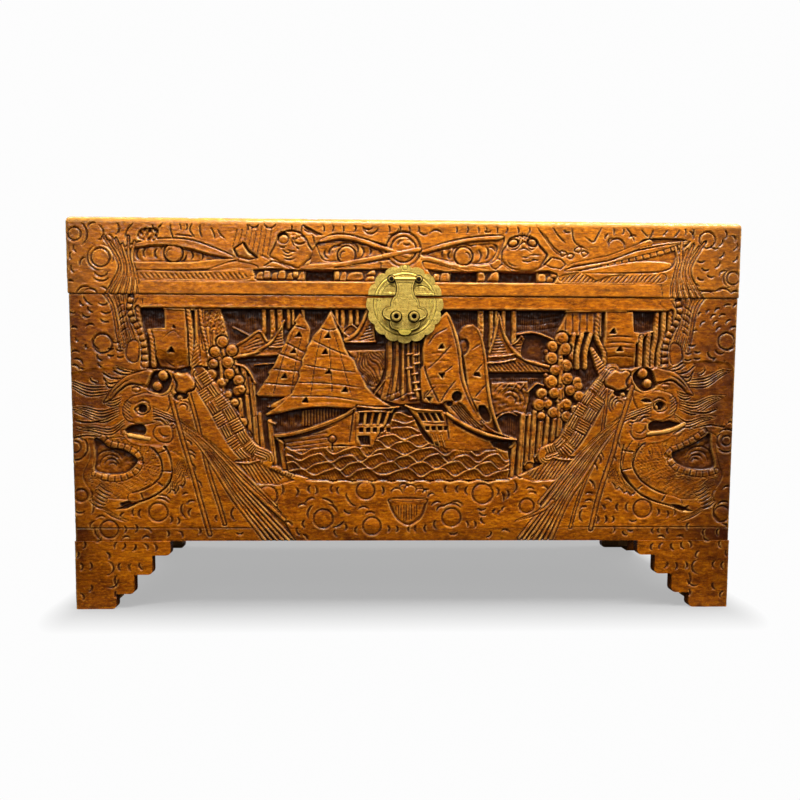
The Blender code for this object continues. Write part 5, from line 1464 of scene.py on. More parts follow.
def meshFrom(name, verts, quads, last=()):
    # a mesh from mm corners, its quads and one many-sided face
    mesh = bpy.data.meshes.new(name)
    mesh.vertices.add(len(verts))
    mesh.vertices.foreach_set("co", (np.asarray(verts) / 1000).astype(np.float32).ravel())
    corners = np.concatenate([np.asarray(quads).ravel(), np.asarray(last, int)]).astype(np.int32)
    mesh.loops.add(len(corners))
    mesh.loops.foreach_set("vertex_index", corners)
    starts = np.arange(len(quads)) * 4
    if len(last):
        starts = np.append(starts, len(quads) * 4)
    mesh.polygons.add(len(starts))
    mesh.polygons.foreach_set("loop_start", starts.astype(np.int32))
    mesh.update(calc_edges=True)
    return mesh


def slabOf(way, plane, low, high, back):
    # a closed block whose front is the carved face between two corners
    face = faces[faceOf.get(way, way)]
    i0, j0 = (max(0, int((low[k] - face.low[k]) / face.step)) for k in (0, 1))
    i1, j1 = (min(face.h.shape[1 - k] - 1, int((high[k] - face.low[k]) / face.step) + 1) for k in (0, 1))
    at = slice(j0, j1 + 1), slice(i0, i1 + 1)
    uAxis, vAxis, outAxis, sign = ways[way]
    rows, columns = face.h[at].shape
    carved = np.empty((rows * columns, 3))
    carved[:, uAxis], carved[:, vAxis] = face.X[at].ravel(), face.Z[at].ravel()
    carved[:, outAxis] = sign * (plane + face.h[at].ravel())
    index = np.arange(rows * columns).reshape(rows, columns)
    quads = np.stack([index[:-1, :-1], index[:-1, 1:], index[1:, 1:], index[1:, :-1]], 2).reshape(-1, 4)
    rim = np.concatenate([index[0, :-1], index[:-1, -1], index[-1, ::-1][:-1], index[::-1, 0][:-1]])
    behind = carved[rim].copy()
    behind[:, outAxis] = sign * back
    below = len(carved) + np.arange(len(rim))
    walls = np.stack([rim, below, np.roll(below, -1), np.roll(rim, -1)], 1)
    quads, cap = np.concatenate([quads, walls]), below[::-1]
    turned = (1 if outAxis != 1 else -1) * sign
    if turned < 0:
        quads, cap = quads[:, ::-1], cap[::-1]
    mesh = meshFrom("slab", np.concatenate([carved, behind]), quads, cap)
    return placed("slab", mesh)


# the two sides of each glued joint between boards in mm, and its axis
joints = ((242.67, 242.97, 2), (361.33, 361.63, 2), (-83.87, -83.57, 1), (85.07, 85.37, 1),
          (-84.87, -84.57, 1),
          (84.57, 84.87, 1))


def placed(name, data):
    thing = bpy.data.objects.new(name, data)
    bpy.context.scene.collection.objects.link(thing)
    return thing


def workpiece(name, node=None, box=None):
    # a closed copy of a solid, or a plain block, ready to be cut
    if node:
        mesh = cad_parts[node].data.copy()
        build = bmesh.new()
        build.from_mesh(mesh)
        bmesh.ops.remove_doubles(build, verts=build.verts, dist=1e-6)
        for vert in build.verts:
            for a, b, axis in joints:  # glued joints close up
                if min(abs(vert.co[axis] * 1000 - a), abs(vert.co[axis] * 1000 - b)) < 0.02:
                    vert.co[axis] = (a + b) / 2000
        build.to_mesh(mesh)
        build.free()
    else:
        (x0, y0, z0), (x1, y1, z1) = box
        verts = [(x, y, z) for z in (z0, z1) for x, y in ((x0, y0), (x1, y0), (x1, y1), (x0, y1))]
        mesh = meshFrom(name, verts, [(3, 2, 1, 0), (4, 5, 6, 7), (0, 1, 5, 4), (1, 2, 6, 5), (2, 3, 7, 6),
                                      (3, 0, 4, 7)])
    mesh.materials.clear()
    piece = placed(name, mesh)
    return piece


def baked(piece):
    # the piece with its modifiers made real
    mesh = bpy.data.meshes.new_from_object(piece.evaluated_get(bpy.context.evaluated_depsgraph_get()))
    piece.modifiers.clear()
    piece.data = mesh
    return mesh


def arraysOf(mesh):
    def read(items, name, width, kind):
        out = np.empty(len(items) * width, kind)
        items.foreach_get(name, out)
        return out.reshape(-1, width) if width > 1 else out
    co = read(mesh.vertices, "co", 3, np.float32).astype(float) * 1000
    return (co, read(mesh.loops, "vertex_index", 1, np.int32), read(mesh.loops, "edge_index", 1, np.int32),
            read(mesh.polygons, "loop_start", 1, np.int32), read(mesh.polygons, "loop_total", 1, np.int32),
            read(mesh.polygons, "normal", 3, np.float32))


def layOut(mesh, co, corner, owner, kinds, weights):
    # a flat map for baking: each kind of face seen along its own axis, in strips packed on shelves
    axes = {0: (1, 2), 1: (0, 2), 2: (0, 1)}
    strips = []
    for kind in np.unique(kinds):
        at = np.flatnonzero(kinds[owner] == kind)
        uAxis, vAxis = axes[int(kind) // 2 % 3]
        p = co[corner[at]][:, [uAxis, vAxis]]
        weight = weights[1 if kind < 6 else 0]
        low, size = p.min(0), np.ptp(p, axis=0) + 0.01
        turn = size[1] > size[0]
        if turn:
            p, low, size = p[:, ::-1], low[::-1], size[::-1]
        count = max(1, int(round(size[0] / 520)))
        firsts = np.flatnonzero(np.r_[True, owner[at][1:] != owner[at][:-1]])
        middle = np.add.reduceat(p[:, 0], firsts) / np.diff(np.r_[firsts, len(at)])
        which = np.clip(((middle - low[0]) / size[0] * count).astype(int), 0, count - 1)
        which = np.repeat(which, np.diff(np.r_[firsts, len(at)]))
        for k in range(count):
            mine = at[which == k]
            if len(mine):
                q = p[which == k]
                strips.append((mine, (q - q.min(0)) * weight, (np.ptp(q, axis=0) + 0.01) * weight))
    strips.sort(key=lambda s: -s[2][1])
    gap, scale = 4.0, 1.0
    for attempt in range(60):
        x = y = shelf = 0.0
        spots, limit = [], 1 / scale
        for _, _, (w, hgt) in strips:
            if x + w + gap > limit and x:
                x, y, shelf = 0.0, y + shelf + gap, 0.0
            spots.append((x, y))
            x, shelf = x + w + gap, max(shelf, hgt)
        fits = y + shelf <= limit and max(s[2][0] for s in strips) + gap <= limit
        if fits:
            break
        scale *= 0.88 if attempt else 1 / 400
    uv = np.zeros((len(corner), 2))
    for (mine, q, _), (x, y) in zip(strips, spots):
        uv[mine] = (q + (x + gap / 2, y)) * scale
    layer = mesh.uv_layers.new(name="OFBake")
    layer.data.foreach_set("uv", np.clip(uv, 0, 1).astype(np.float32).ravel())


def dressed(piece, cuts, grain, materials, bareInside=True):
    # marks what is carved, its wear with painted highlights, its old darkening with painted shade, and what
    # is bare, and lays the grain along the board
    mesh = piece.data
    co, corner, edge, start, total, normal = arraysOf(mesh)
    owner = np.repeat(np.arange(len(start)), total)
    onFace = np.full(len(start), -1)
    tone = np.zeros((len(corner), 3), np.float32)
    for number, (way, plane, *_) in enumerate(cuts):
        face = faces[faceOf.get(way, way)]
        uAxis, vAxis, outAxis, sign = ways[way]
        u, v, out = co[:, uAxis], co[:, vAxis], co[:, outAxis] * sign
        on = (np.abs(out - plane - sampled(face.h, face, u, v)) < 0.9)
        whole = np.minimum.reduceat(on[corner], start) & (normal[:, outAxis] * sign > 0.02) & (onFace < 0)
        onFace[whole] = number
        mine = whole[owner]
        at = corner[mine]
        tone[mine, 0] = sampled(face.recess, face, u[at], v[at])
        tone[mine, 1] = sampled(face.worn, face, u[at], v[at])
    middle = np.stack([np.add.reduceat(co[corner, k], start) / total for k in range(3)], 1)
    # painted shade: darker towards the ends, towards the feet and below the lid; the base strip has its own
    # darker tone
    across = np.abs(co[corner, 0]) / lidSize["wide"]
    low = np.clip((115 - co[corner, 2]) / 120, 0, 1)
    toLeft = co[corner, 0] < 0
    edgeward = np.clip((across - np.where(toLeft, 0.84, 0.72)) / np.where(toLeft, 0.16, 0.28), 0, 1)
    ageAndShade = np.where(toLeft, 0.62, 0.7) * edgeward ** 1.5
    ageAndShade = ageAndShade * (1 - 0.65 * low) + 0.12 * low
    ageAndShade += np.where(co[corner, 2] < 480, 0.08, 0) + np.where(np.abs(co[corner, 2] - 116) < 10, 0.32, 0)
    # painted shade along the corner edges
    ageAndShade = np.where((np.abs(co[corner, 0]) > 502) & (low < 1), np.maximum(ageAndShade, 0.78 - 0.3 * low), ageAndShade)
    # the side faces are darker, more so towards the back
    sideways = (np.abs(normal[:, 0]) > 0.5)[owner]
    deep = np.abs(co[corner, 1])
    tone[:, 2] = np.where(sideways, 0.42 + 0.3 * deep / lidSize["deep"] * deep / lidSize["deep"], ageAndShade)
    inside = (np.abs(middle[:, 0]) < innerHalfWide) & (np.abs(middle[:, 1]) < innerHalfDeep)
    inside &= (middle[:, 2] < ceiling) & (onFace < 0)
    inside |= (normal[:, 2] > 0.9) & (np.abs(middle[:, 2] - floorTop) < 2)
    under = (normal[:, 2] < -0.9) & (middle[:, 2] > 100) & (middle[:, 2] < 110)
    bare = (inside | under) if bareInside else np.zeros(len(start), bool)
    along, seed = grain
    rng = np.random.default_rng(seed)
    others = [k for k in range(3) if k != along]
    lie = np.empty((len(co), 3), np.float32)
    centre = (co.max(0) + co.min(0)) / 2
    thin = others[int(np.argmin([np.ptp(co[:, k]) for k in others]))]
    broad = others[0] if others[1] == thin else others[1]
    lie[:, 0] = co[:, along] + rng.uniform(-900, 900)
    lie[:, 1] = co[:, broad] - centre[broad] + rng.uniform(-45, 45)
    lie[:, 2] = co[:, thin] - centre[thin] + rng.choice([-1, 1]) * rng.uniform(38, 95)
    for name, data, domain in (("tone", tone, "CORNER"), ("grain", lie, "POINT")):
        layer = mesh.attributes.new(name, "FLOAT_VECTOR", domain)
        layer.data.foreach_set("vector", data.astype(np.float32).ravel())
    # smooth carving, crisp arrises
    count = len(mesh.edges)
    shown = np.bincount(edge, weights=(onFace[owner] >= 0), minlength=count)
    sums = np.stack([np.bincount(edge, weights=normal[owner, k], minlength=count) for k in range(3)], 1)
    sharp = (np.linalg.norm(sums, axis=1) < 2 * math.cos(math.radians(17))) & (shown < 2) | (shown == 1)
    mesh.polygons.foreach_set("use_smooth", np.ones(len(start), bool))
    flags = mesh.attributes.get("sharp_edge") or mesh.attributes.new("sharp_edge", "BOOLEAN", "EDGE")
    flags.data.foreach_set("value", sharp)
    mesh.materials.clear()
    for material in materials:
        mesh.materials.append(material)
    mesh.polygons.foreach_set("material_index", (bare & (len(materials) > 1)).astype(np.int32))
    main = np.argmax(np.abs(normal), axis=1)
    kinds = main * 2 + (normal[np.arange(len(main)), main] > 0)
    for number, cut in enumerate(cuts):
        kinds[onFace == number] = 6 + ways[cut[0]][2] * 2 + (number % 2)
    layOut(mesh, co, corner, owner, kinds, (1.0, 0.62))
    mesh.update()
    return piece


def carvedBoard(name, cuts, grain, body, materials, box=None, nodes=None):
    piece = workpiece(name, None if box else nodes[0], box)
    slabs = []
    for way, plane, low, high, back in cuts:
        slab = slabOf(way, plane, low, high, back)
        slabs.append(slab)
        cutter = piece.modifiers.new("carving", "BOOLEAN")
        cutter.operation, cutter.solver, cutter.object = "INTERSECT", "MANIFOLD", slab
    baked(piece)
    for slab in slabs:
        bpy.data.meshes.remove(slab.data)
    dressed(piece, cuts, grain, materials, len(materials) > 1)
    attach(piece, body)
    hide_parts(*nodes)
    return piece


# finishes

varnish = {"honey": "#C46A0A", "lateWood": "#7A3402", "blotch": "#924704", "stainAndShade": "#331605",
           "rubbedAndHighlight": "#F2B254", "darkAgedAndShaded": "#3A1506", "bright": "#E28C12", "ringSpacing": 5.5,
           "ringDepth": 0.45, "pore": 0.5, "rough": 0.26, "patina": 0.8, "mottle": 0.7}
camphor = {"honey": "#C99B63", "lateWood": "#A87441", "blotch": "#B98552", "stainAndShade": "#6E4726",
           "rubbedAndHighlight": "#D9B483", "darkAgedAndShaded": "#9A6A3E", "bright": "#D8AE78", "ringSpacing": 6.5,
           "ringDepth": 0.85, "pore": 0.35, "rough": 0.62, "patina": 0.2, "mottle": 0.2}
brass = {"bright": "#F3D068", "tarnish": "#9A6C22", "creviceAndShade": "#1E1507", "rubbedAndHighlight": "#FFE25A"}
steel = {"bright": "#8E8B85", "tarnish": "#5B4A3C", "creviceAndShade": "#2A1D14", "rubbedAndHighlight": "#B0ADA6"}


def toLinear(colour):
    parts = [int(colour[i:i + 2], 16) / 255 for i in (1, 3, 5)]
    return tuple(c / 12.92 if c <= 0.04045 else ((c + 0.055) / 1.055) ** 2.4 for c in parts) + (1.0,)


def addNode(tree, kind, inputs=None, out=0, **settings):
    # one node with its settings and inputs, and the output that is wanted from it
    node = tree.nodes.new(kind)
    for name, value in settings.items():
        setattr(node, name, value)
    for key, value in (inputs or {}).items():
        if isinstance(value, bpy.types.NodeSocket):
            tree.links.new(value, node.inputs[key])
        else:
            node.inputs[key].default_value = value
    return node.outputs[out]


def mixed(tree, amount, a, b, how="MIX"):
    return addNode(tree, "ShaderNodeMix", {0: amount, 6: a, 7: b}, 2, data_type="RGBA", blend_type=how)


def mathOf(tree, how, a, b=0.0, clamp=False):
    return addNode(tree, "ShaderNodeMath", {0: a, 1: b}, operation=how, use_clamp=clamp)


def stretched(tree, vector, scale):
    return addNode(tree, "ShaderNodeVectorMath", {0: vector, 1: scale}, operation="MULTIPLY")


def ramped(tree, value, low, high, to0=0.0, to1=1.0):
    return addNode(tree, "ShaderNodeMapRange", {0: value, 1: low, 2: high, 3: to0, 4: to1})


def marksOf(tree, tone):
    marks = tree.nodes.new("ShaderNodeSeparateXYZ")
    tree.links.new(tone, marks.inputs[0])
    return marks.outputs


def noise(tree, vector, detail, stretch=None, out=0, scale=1.0, **inputs):
    place = stretched(tree, vector, stretch) if stretch else vector
    return addNode(tree, "ShaderNodeTexNoise", {"Vector": place, "Scale": scale, "Detail": detail, **inputs},
                   out)


def newMaterial(name):
    material = bpy.data.materials.new(name)
    material.use_nodes = True
    tree = material.node_tree
    return material, tree, tree.nodes["Principled BSDF"]


def woodFinish(name, look, coat):
    # camphor wood: broad wandering rings, fine fibres and short dark pores, all in mm along the board
    material, tree, shader = newMaterial(name)
    grain = addNode(tree, "ShaderNodeAttribute", out=1, attribute_name="grain")
    tone = addNode(tree, "ShaderNodeAttribute", out=1, attribute_name="tone")
    recess, worn, ageAndShade = marksOf(tree, tone)
    drift = noise(tree, grain, 3.0, (0.004, 0.016, 0.016), 1)
    drift = addNode(tree, "ShaderNodeVectorMath", {0: drift, 1: (0.5, 0.5, 0.5)}, operation="SUBTRACT")
    bent = addNode(tree, "ShaderNodeVectorMath",
                   {0: grain, 1: stretched(tree, drift, (0, 34, 34))}, operation="ADD")
    radius = addNode(tree, "ShaderNodeVectorMath",
                     {0: stretched(tree, bent, (0, 1, 1))}, 1, operation="LENGTH")
    ring = mathOf(tree, "FRACT", mathOf(tree, "DIVIDE", radius, look["ringSpacing"]))
    late = mathOf(tree, "MULTIPLY", ramped(tree, ring, 0.15, 0.9), ramped(tree, ring, 1.0, 0.93))
    fibre = noise(tree, bent, 4.0, (0.03, 1.5, 1.5))
    blotch = noise(tree, grain, 3.0, (0.006, 0.03, 0.03))
    pore = noise(tree, bent, 1.0, (0.16, 2.6, 2.6))
    pore = ramped(tree, pore, 0.62, 0.74)
    lateAmount = mathOf(tree, "MULTIPLY",
                        late, ramped(tree, blotch, 0.3, 0.7, 0.35 * look["ringDepth"], look["ringDepth"]))
    colour = mixed(tree, lateAmount, toLinear(look["honey"]), toLinear(look["lateWood"]))
    colour = mixed(tree, ramped(tree, blotch, 0.42, 0.72, 0.0, 0.7), colour, toLinear(look["blotch"]))
    colour = mixed(tree, ramped(tree, fibre, 0.3, 0.75, 0.0, 0.5), colour, toLinear(look["lateWood"]))
    colour = mixed(tree, mathOf(tree, "MULTIPLY", pore, look["pore"]), colour, toLinear(look["stainAndShade"]))
    # old varnish, gathered in patches and rubbed thin between them
    patina = noise(tree, grain, 6.0, (0.03, 0.075, 0.075), Roughness=0.62)
    colour = mixed(tree, ramped(tree, patina, 0.5, 0.72, 0.0, look["patina"]),
                   colour, toLinear(look["darkAgedAndShaded"]))
    colour = mixed(tree, ramped(tree, patina, 0.46, 0.3, 0.0, 0.35), colour, toLinear(look["bright"]))
    mottle = noise(tree, grain, 7.0, (0.11, 0.3, 0.3), Roughness=0.75)
    colour = mixed(tree, ramped(tree, mottle, 0.48, 0.66, 0.0, look["mottle"]),
                   colour, toLinear(look["darkAgedAndShaded"]))
    colour = mixed(tree, ramped(tree, mottle, 0.48, 0.32, 0.0, look["mottle"]),
                   colour, toLinear(look["bright"]))
    patchy = ramped(tree, noise(tree, grain, 4.0, (0.05, 0.05, 0.05)), 0.3, 0.7, -0.16, 0.16)
    # darker with old colour and painted shade: at the ends, the feet and below the lid, on the sides and on
    # the base strip
    colour = mixed(tree, mathOf(tree, "ADD", ageAndShade, mathOf(tree, "MULTIPLY", patchy, 0.6), True),
                   colour, toLinear(look["darkAgedAndShaded"]))
    # ridges lighter: wear and painted highlight
    colour = mixed(tree, mathOf(tree, "MULTIPLY", worn, 0.38), colour, toLinear(look["rubbedAndHighlight"]))
    # painted shade in grooves and hollows, partly staining gathered there
    dark = ramped(tree, mathOf(tree, "ADD", recess, mathOf(tree, "MULTIPLY", patchy, recess)),
                  0.0, 0.85, 0.0, 0.94)
    colour = mixed(tree, dark, colour, toLinear(look["stainAndShade"]))
    tree.links.new(colour, shader.inputs["Base Color"])
    gloss = mathOf(tree, "ADD", ramped(tree, fibre, 0.3, 0.7, look["rough"] - 0.05, look["rough"] + 0.1),
                   mathOf(tree, "MULTIPLY", dark, 0.22))
    tree.links.new(gloss, shader.inputs["Roughness"])
    height = mathOf(tree, "ADD", mathOf(tree, "MULTIPLY", fibre, 0.5), mathOf(tree, "MULTIPLY", late, 0.25))
    height = mathOf(tree, "SUBTRACT", height, mathOf(tree, "MULTIPLY", pore, 0.5))
    height = mathOf(tree, "ADD", height, mathOf(tree, "MULTIPLY", mottle, look["mottle"]))
    bump = addNode(tree, "ShaderNodeBump", {"Strength": 0.4, "Distance": 0.0005, "Height": height})
    tree.links.new(bump, shader.inputs["Normal"])
    shader.inputs["Specular IOR Level"].default_value = 0.15
    shader.inputs["Coat Weight"].default_value = coat
    shader.inputs["Coat Roughness"].default_value = 0.16
    return material


def metalFinish(name, look, rough):
    # metal polished bright where hands reach and on its ridges, partly painted highlight, dull and brown
    # everywhere else, with painted shade in its hollows
    material, tree, shader = newMaterial(name)
    place = addNode(tree, "ShaderNodeTexCoord", out=3)
    tone = addNode(tree, "ShaderNodeAttribute", out=1, attribute_name="tone")
    recess, worn, _ = marksOf(tree, tone)
    cloudy = noise(tree, place, 7.0, scale=150.0, Roughness=0.7)
    specks = noise(tree, place, 3.0, scale=900.0)
    strokes = noise(tree, place, 2.0, (260, 260, 2600))
    colour = mixed(tree, ramped(tree, cloudy, 0.42, 0.66, 0.08, 0.85), toLinear(look["bright"]),
                   toLinear(look["tarnish"]))
    colour = mixed(tree, ramped(tree, specks, 0.6, 0.72, 0.0, 0.6), colour, toLinear(look["creviceAndShade"]))
    colour = mixed(tree, mathOf(tree, "MULTIPLY", worn, 0.75), colour, toLinear(look["rubbedAndHighlight"]))
    # painted shade in grooves and painted shadows round the hasp, posts and nails
    colour = mixed(tree, mathOf(tree, "MULTIPLY", recess, 1.25, True), colour, toLinear(look["creviceAndShade"]))
    tree.links.new(colour, shader.inputs["Base Color"])
    tree.links.new(ramped(tree, cloudy, 0.35, 0.7, rough - 0.06, rough + 0.2), shader.inputs["Roughness"])
    shader.inputs["Metallic"].default_value = 0.72
    height = mathOf(tree, "ADD", mathOf(tree, "MULTIPLY", cloudy, 1.0),
                    mathOf(tree, "MULTIPLY", strokes, 0.3))
    bump = addNode(tree, "ShaderNodeBump", {"Strength": 0.5, "Distance": 0.0005, "Height": height})
    tree.links.new(bump, shader.inputs["Normal"])
    return material


varnishedCamphor = woodFinish("varnished camphor wood", varnish, 0.26)
bareCamphor = woodFinish("bare camphor wood", camphor, 0.0)
agedBrass = metalFinish("aged yellow brass", brass, 0.36)
dullSteel = metalFinish("dull rusty steel", steel, 0.42)
print("finishes made")

# the boards


def boxOf(*nodes):
    corners = np.array([np.array(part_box(node)) for node in nodes]) * 1000
    return corners[:, 0].min(0), corners[:, 1].max(0)


def cutsFor(low, high):
    # the outer faces that a board reaches, each with its own plane
    lid, feet = low[2] > 479, high[2] < 106
    cuts = []
    for way in ("front", "right", "left", "back", "top"):
        uAxis, vAxis, axis, sign = ways[way]
        name = {"front": "lidFront", "right": "lidRight", "left": "lidLeft"}.get(way, way) if lid else way
        plane = (bodySize["wide"], bodySize["front" if way == "front" else "deep"], lidSize["top"])[axis]
        if (lid or feet) and axis < 2:
            plane = (lidSize["wide"], lidSize["deep"])[axis]
        reach, other = (high, low) if sign > 0 else (low, high)
        if abs(reach[axis] * sign - plane) < 0.6:
            first, last = (low[uAxis] - 3, low[vAxis] - 3), (high[uAxis] + 3, high[vAxis] + 3)
            cuts.append((name, plane, first, last, other[axis] * sign - 8))
    return cuts


woodWords = ("board", "foot_", "lid_rim", "glue")
woodNodes = [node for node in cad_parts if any(word in node for word in woodWords)]
for seed, node in enumerate(sorted(woodNodes)):
    low, high = boxOf(node)
    along = int(np.argmax(high - low)) if "glue" not in node else 2
    lid = node.startswith("lid")
    box = None
    if "lid_top" in node:
        ends = [y + (0.15 if y in (-84.87, 84.57) else 0) for y in np.round((low[1], high[1]), 2)]
        box = ((low[0], round(ends[0], 2) if ends[0] < -250 else ends[0], low[2]),
               (high[0], ends[1], high[2]))
    finishes = (bareCamphor,) if "glue" in node else (varnishedCamphor, bareCamphor)
    carvedBoard("carved_" + node, cutsFor(low, high), (along, seed + 5), "lid" if lid else "carcass",
                finishes, box, [node])
print("boards cut and carved")

# metalwork


def toned(mesh, darkness):
    # how dark a metal piece is at each of its points, from its own tone and from painted shade
    co = np.empty(len(mesh.vertices) * 3, np.float32)
    mesh.vertices.foreach_get("co", co)
    tone = np.zeros((len(mesh.vertices), 3), np.float32)
    tone[:, 0] = darkness(*(co.reshape(-1, 3).T * 1000))
    layer = mesh.attributes.new("tone", "FLOAT_VECTOR", "POINT")
    layer.data.foreach_set("vector", tone.ravel())


def metalPiece(node, body, material, bevel, darkness=None):
    # a closed, softened copy of a metal solid
    piece = workpiece("worked_" + node, node)
    ease = piece.modifiers.new("ease", "BEVEL")
    ease.width, ease.segments = bevel / 1000, 2
    ease.limit_method, ease.angle_limit = "ANGLE", math.radians(38)
    mesh = baked(piece)
    mesh.polygons.foreach_set("use_smooth", np.ones(len(mesh.polygons), bool))
    mesh.set_sharp_from_angle(angle=math.radians(42))
    mesh.materials.clear()
    mesh.materials.append(material)
    toned(mesh, darkness or (lambda x, y, z: 0.12 * np.clip(np.sin(x * 0.9) + np.sin(z * 1.3), 0, 1)))
    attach(piece, body)
    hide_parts(node)
    return piece


def boreShade(x, y, z):
    # painted shade inside the post's bore and where it meets the plate
    r = np.hypot(np.abs(x + 4) - 13.35, z - 448.5)
    return np.clip(np.where(r < 4.3, (y + 270.4) / 9, (y + 268) / 3), 0, 1)


def eyeShade(x, y, z):
    # painted shade round the nails that hold the bar, darker further in
    r = np.hypot(np.abs(x + 4) - 20.5, z - 504.7)
    return np.where(r < 3.4, np.clip((y + 262.6) / 2, 0, 1),
                    np.where(r < 5, np.clip((y + 259.3) / 1.5, 0, 1), 0))


plateCuts = {"lock_plate_lower": ("plateLower", 254.0), "lock_plate_upper": ("plateUpper", 255.5),
             "hasp": ("hasp", 259.4)}
lidMetal = ("lock_plate_upper", "hasp_bar", "stay_plate_lid", "hasp_nail_left", "hasp_nail_right",
            "hinge_left_lid_leaf", "hinge_right_lid_leaf")
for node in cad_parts:
    if node in woodNodes:
        continue
    body = node if node in ("hasp", "stay_arm") else "lid" if node in lidMetal else "carcass"
    if node in plateCuts:
        way, plane = plateCuts[node]
        low, high = boxOf(node)
        cut = (way, plane, (low[0] - 1, low[2] - 1), (high[0] + 1, high[2] + 1), -high[1] - 2)
        carvedBoard("worked_" + node, [cut], (0, 3), body, (agedBrass,), None, [node])
    elif "stay" in node:
        metalPiece(node, body, dullSteel, 0.12)
    else:
        grime = boreShade if "post" in node else eyeShade if "hasp" in node else None
        metalPiece(node, body, agedBrass, 0.3, grime)
print("metalwork softened")

# screws, set by geometry nodes where a leaf or plate is let in

screw = {"headRadius": 3.1, "headRise": 0.22, "slotWidth": 0.8, "turnSeed": 4}


def screwHead():
    # a low round head with one slot across it
    build = bmesh.new()
    rings = [(1.0, -0.6), (1.0, 0.25), (0.86, 0.75), (0.5, 1.0)]
    sides, half = 20, screw["slotWidth"] / 2
    layers = []
    for share, up in rings:
        r, z = screw["headRadius"] * share, screw["headRise"] * up
        turns = [math.tau * k / sides for k in range(sides)]
        layers.append([build.verts.new((r * math.cos(t) / 1000, r * math.sin(t) / 1000, z / 1000))
                       for t in turns])
    for a, b in zip(layers, layers[1:]):
        for k in range(sides):
            build.faces.new((a[k], a[(k + 1) % sides], b[(k + 1) % sides], b[k]))
    build.faces.new(layers[-1])
    build.faces.new(layers[0][::-1])
    mesh = bpy.data.meshes.new("screwHead")
    build.to_mesh(mesh)
    build.free()
    head = placed("screwHead", mesh)
    box = workpiece("slot", box=((-4, -half, 0.02), (4, half, 2)))
    cutter = head.modifiers.new("slot", "BOOLEAN")
    cutter.operation, cutter.solver, cutter.object = "DIFFERENCE", "MANIFOLD", box
    baked(head)
    bpy.data.objects.remove(box)
    return head


def screwTree(head, material):
    tree = bpy.data.node_groups.new("screws", "GeometryNodeTree")
    for name, kind, way in (("Points", "NodeSocketGeometry", "INPUT"),
                            ("Turn seed", "NodeSocketInt", "INPUT"),
                            ("Screws", "NodeSocketGeometry", "OUTPUT")):
        tree.interface.new_socket(name, in_out=way, socket_type=kind)
    points = tree.nodes.new("NodeGroupInput")
    facing = addNode(tree, "GeometryNodeInputNamedAttribute", {0: "facing"}, data_type="FLOAT_VECTOR")
    lie = addNode(tree, "FunctionNodeAlignEulerToVector", {2: facing}, axis="Z")
    spin = addNode(tree, "FunctionNodeRandomValue", {2: 0.0, 3: 3.14, 8: points.outputs[1]}, 1)
    spin = addNode(tree, "ShaderNodeCombineXYZ", {2: spin})
    lie = addNode(tree, "FunctionNodeRotateEuler", {0: lie, 1: spin}, space="LOCAL")
    shape = addNode(tree, "GeometryNodeObjectInfo", {0: head}, "Geometry")
    copies = addNode(tree, "GeometryNodeInstanceOnPoints", {0: points.outputs[0], 2: shape, 5: lie})
    real = addNode(tree, "GeometryNodeRealizeInstances", {0: copies})
    done = addNode(tree, "GeometryNodeSetMaterial", {0: real, 2: material})
    tree.links.new(done, tree.nodes.new("NodeGroupOutput").inputs[0])
    return tree


def screwSet(name, body, places, material, head):
    # places are a point on the plate in mm and the way that the plate faces there
    mesh = bpy.data.meshes.new(name)
    mesh.from_pydata([tuple(c / 1000 for c in point) for point, _ in places], [], [])
    layer = mesh.attributes.new("facing", "FLOAT_VECTOR", "POINT")
    layer.data.foreach_set("vector", np.array([way for _, way in places], np.float32).ravel())
    piece = placed(name, mesh)
    setting = piece.modifiers.new("screws", "NODES")
    setting.node_group = screwTree(head, material)
    seedSocket = [i.identifier for i in setting.node_group.interface.items_tree if i.name == "Turn seed"][0]
    setting[seedSocket] = screw["turnSeed"]
    mesh = baked(piece)
    mesh.materials.clear()
    mesh.materials.append(material)
    mesh.polygons.foreach_set("use_smooth", np.ones(len(mesh.polygons), bool))
    mesh.set_sharp_from_angle(angle=math.radians(35))
    if "facing" in mesh.attributes:
        mesh.attributes.remove(mesh.attributes["facing"])
    toned(mesh, lambda x, y, z: 0.25 + 0 * x)
    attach(piece, body)


def leafScrews(node, up):
    # three screws down the middle of a hinge leaf, on the face that shows when the lid is open
    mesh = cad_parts[node].data
    co = np.array([v.co for v in mesh.vertices]) * 1000
    low, high = boxOf(node)
    flat = co[co[:, 1] < 250]
    z = flat[:, 2].max() if up > 0 else flat[:, 2].min()
    return [((x, 245.6, z), (0, 0, up)) for x in np.linspace(low[0] + 9, high[0] - 9, 3)]


def plateScrews(node):
    low, high = boxOf(node)
    x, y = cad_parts[node], (low[1] + high[1]) / 2
    co = np.array([v.co for v in x.data.vertices]) * 1000
    corner = co[np.abs(co[:, 2] - low[2]) < 1.5]
    face = corner[:, 0].min()
    return [((face, y, low[2] + 6), (-1, 0, 0)), ((face, y, high[2] - 6), (-1, 0, 0))]


def bothLeaves(end, up):
    return leafScrews("hinge_left_%s_leaf" % end, up) + leafScrews("hinge_right_%s_leaf" % end, up)


head = screwHead()
screwSet("hinge_screws_body", "carcass", bothLeaves("body", 1), agedBrass, head)
screwSet("hinge_screws_lid", "lid", bothLeaves("lid", -1), agedBrass, head)
screwSet("stay_screws_body", "carcass", plateScrews("stay_plate_body"), dullSteel, head)
screwSet("stay_screws_lid", "lid", plateScrews("stay_plate_lid"), dullSteel, head)
bpy.data.objects.remove(head)
print("screws driven")

# camera, light and floor

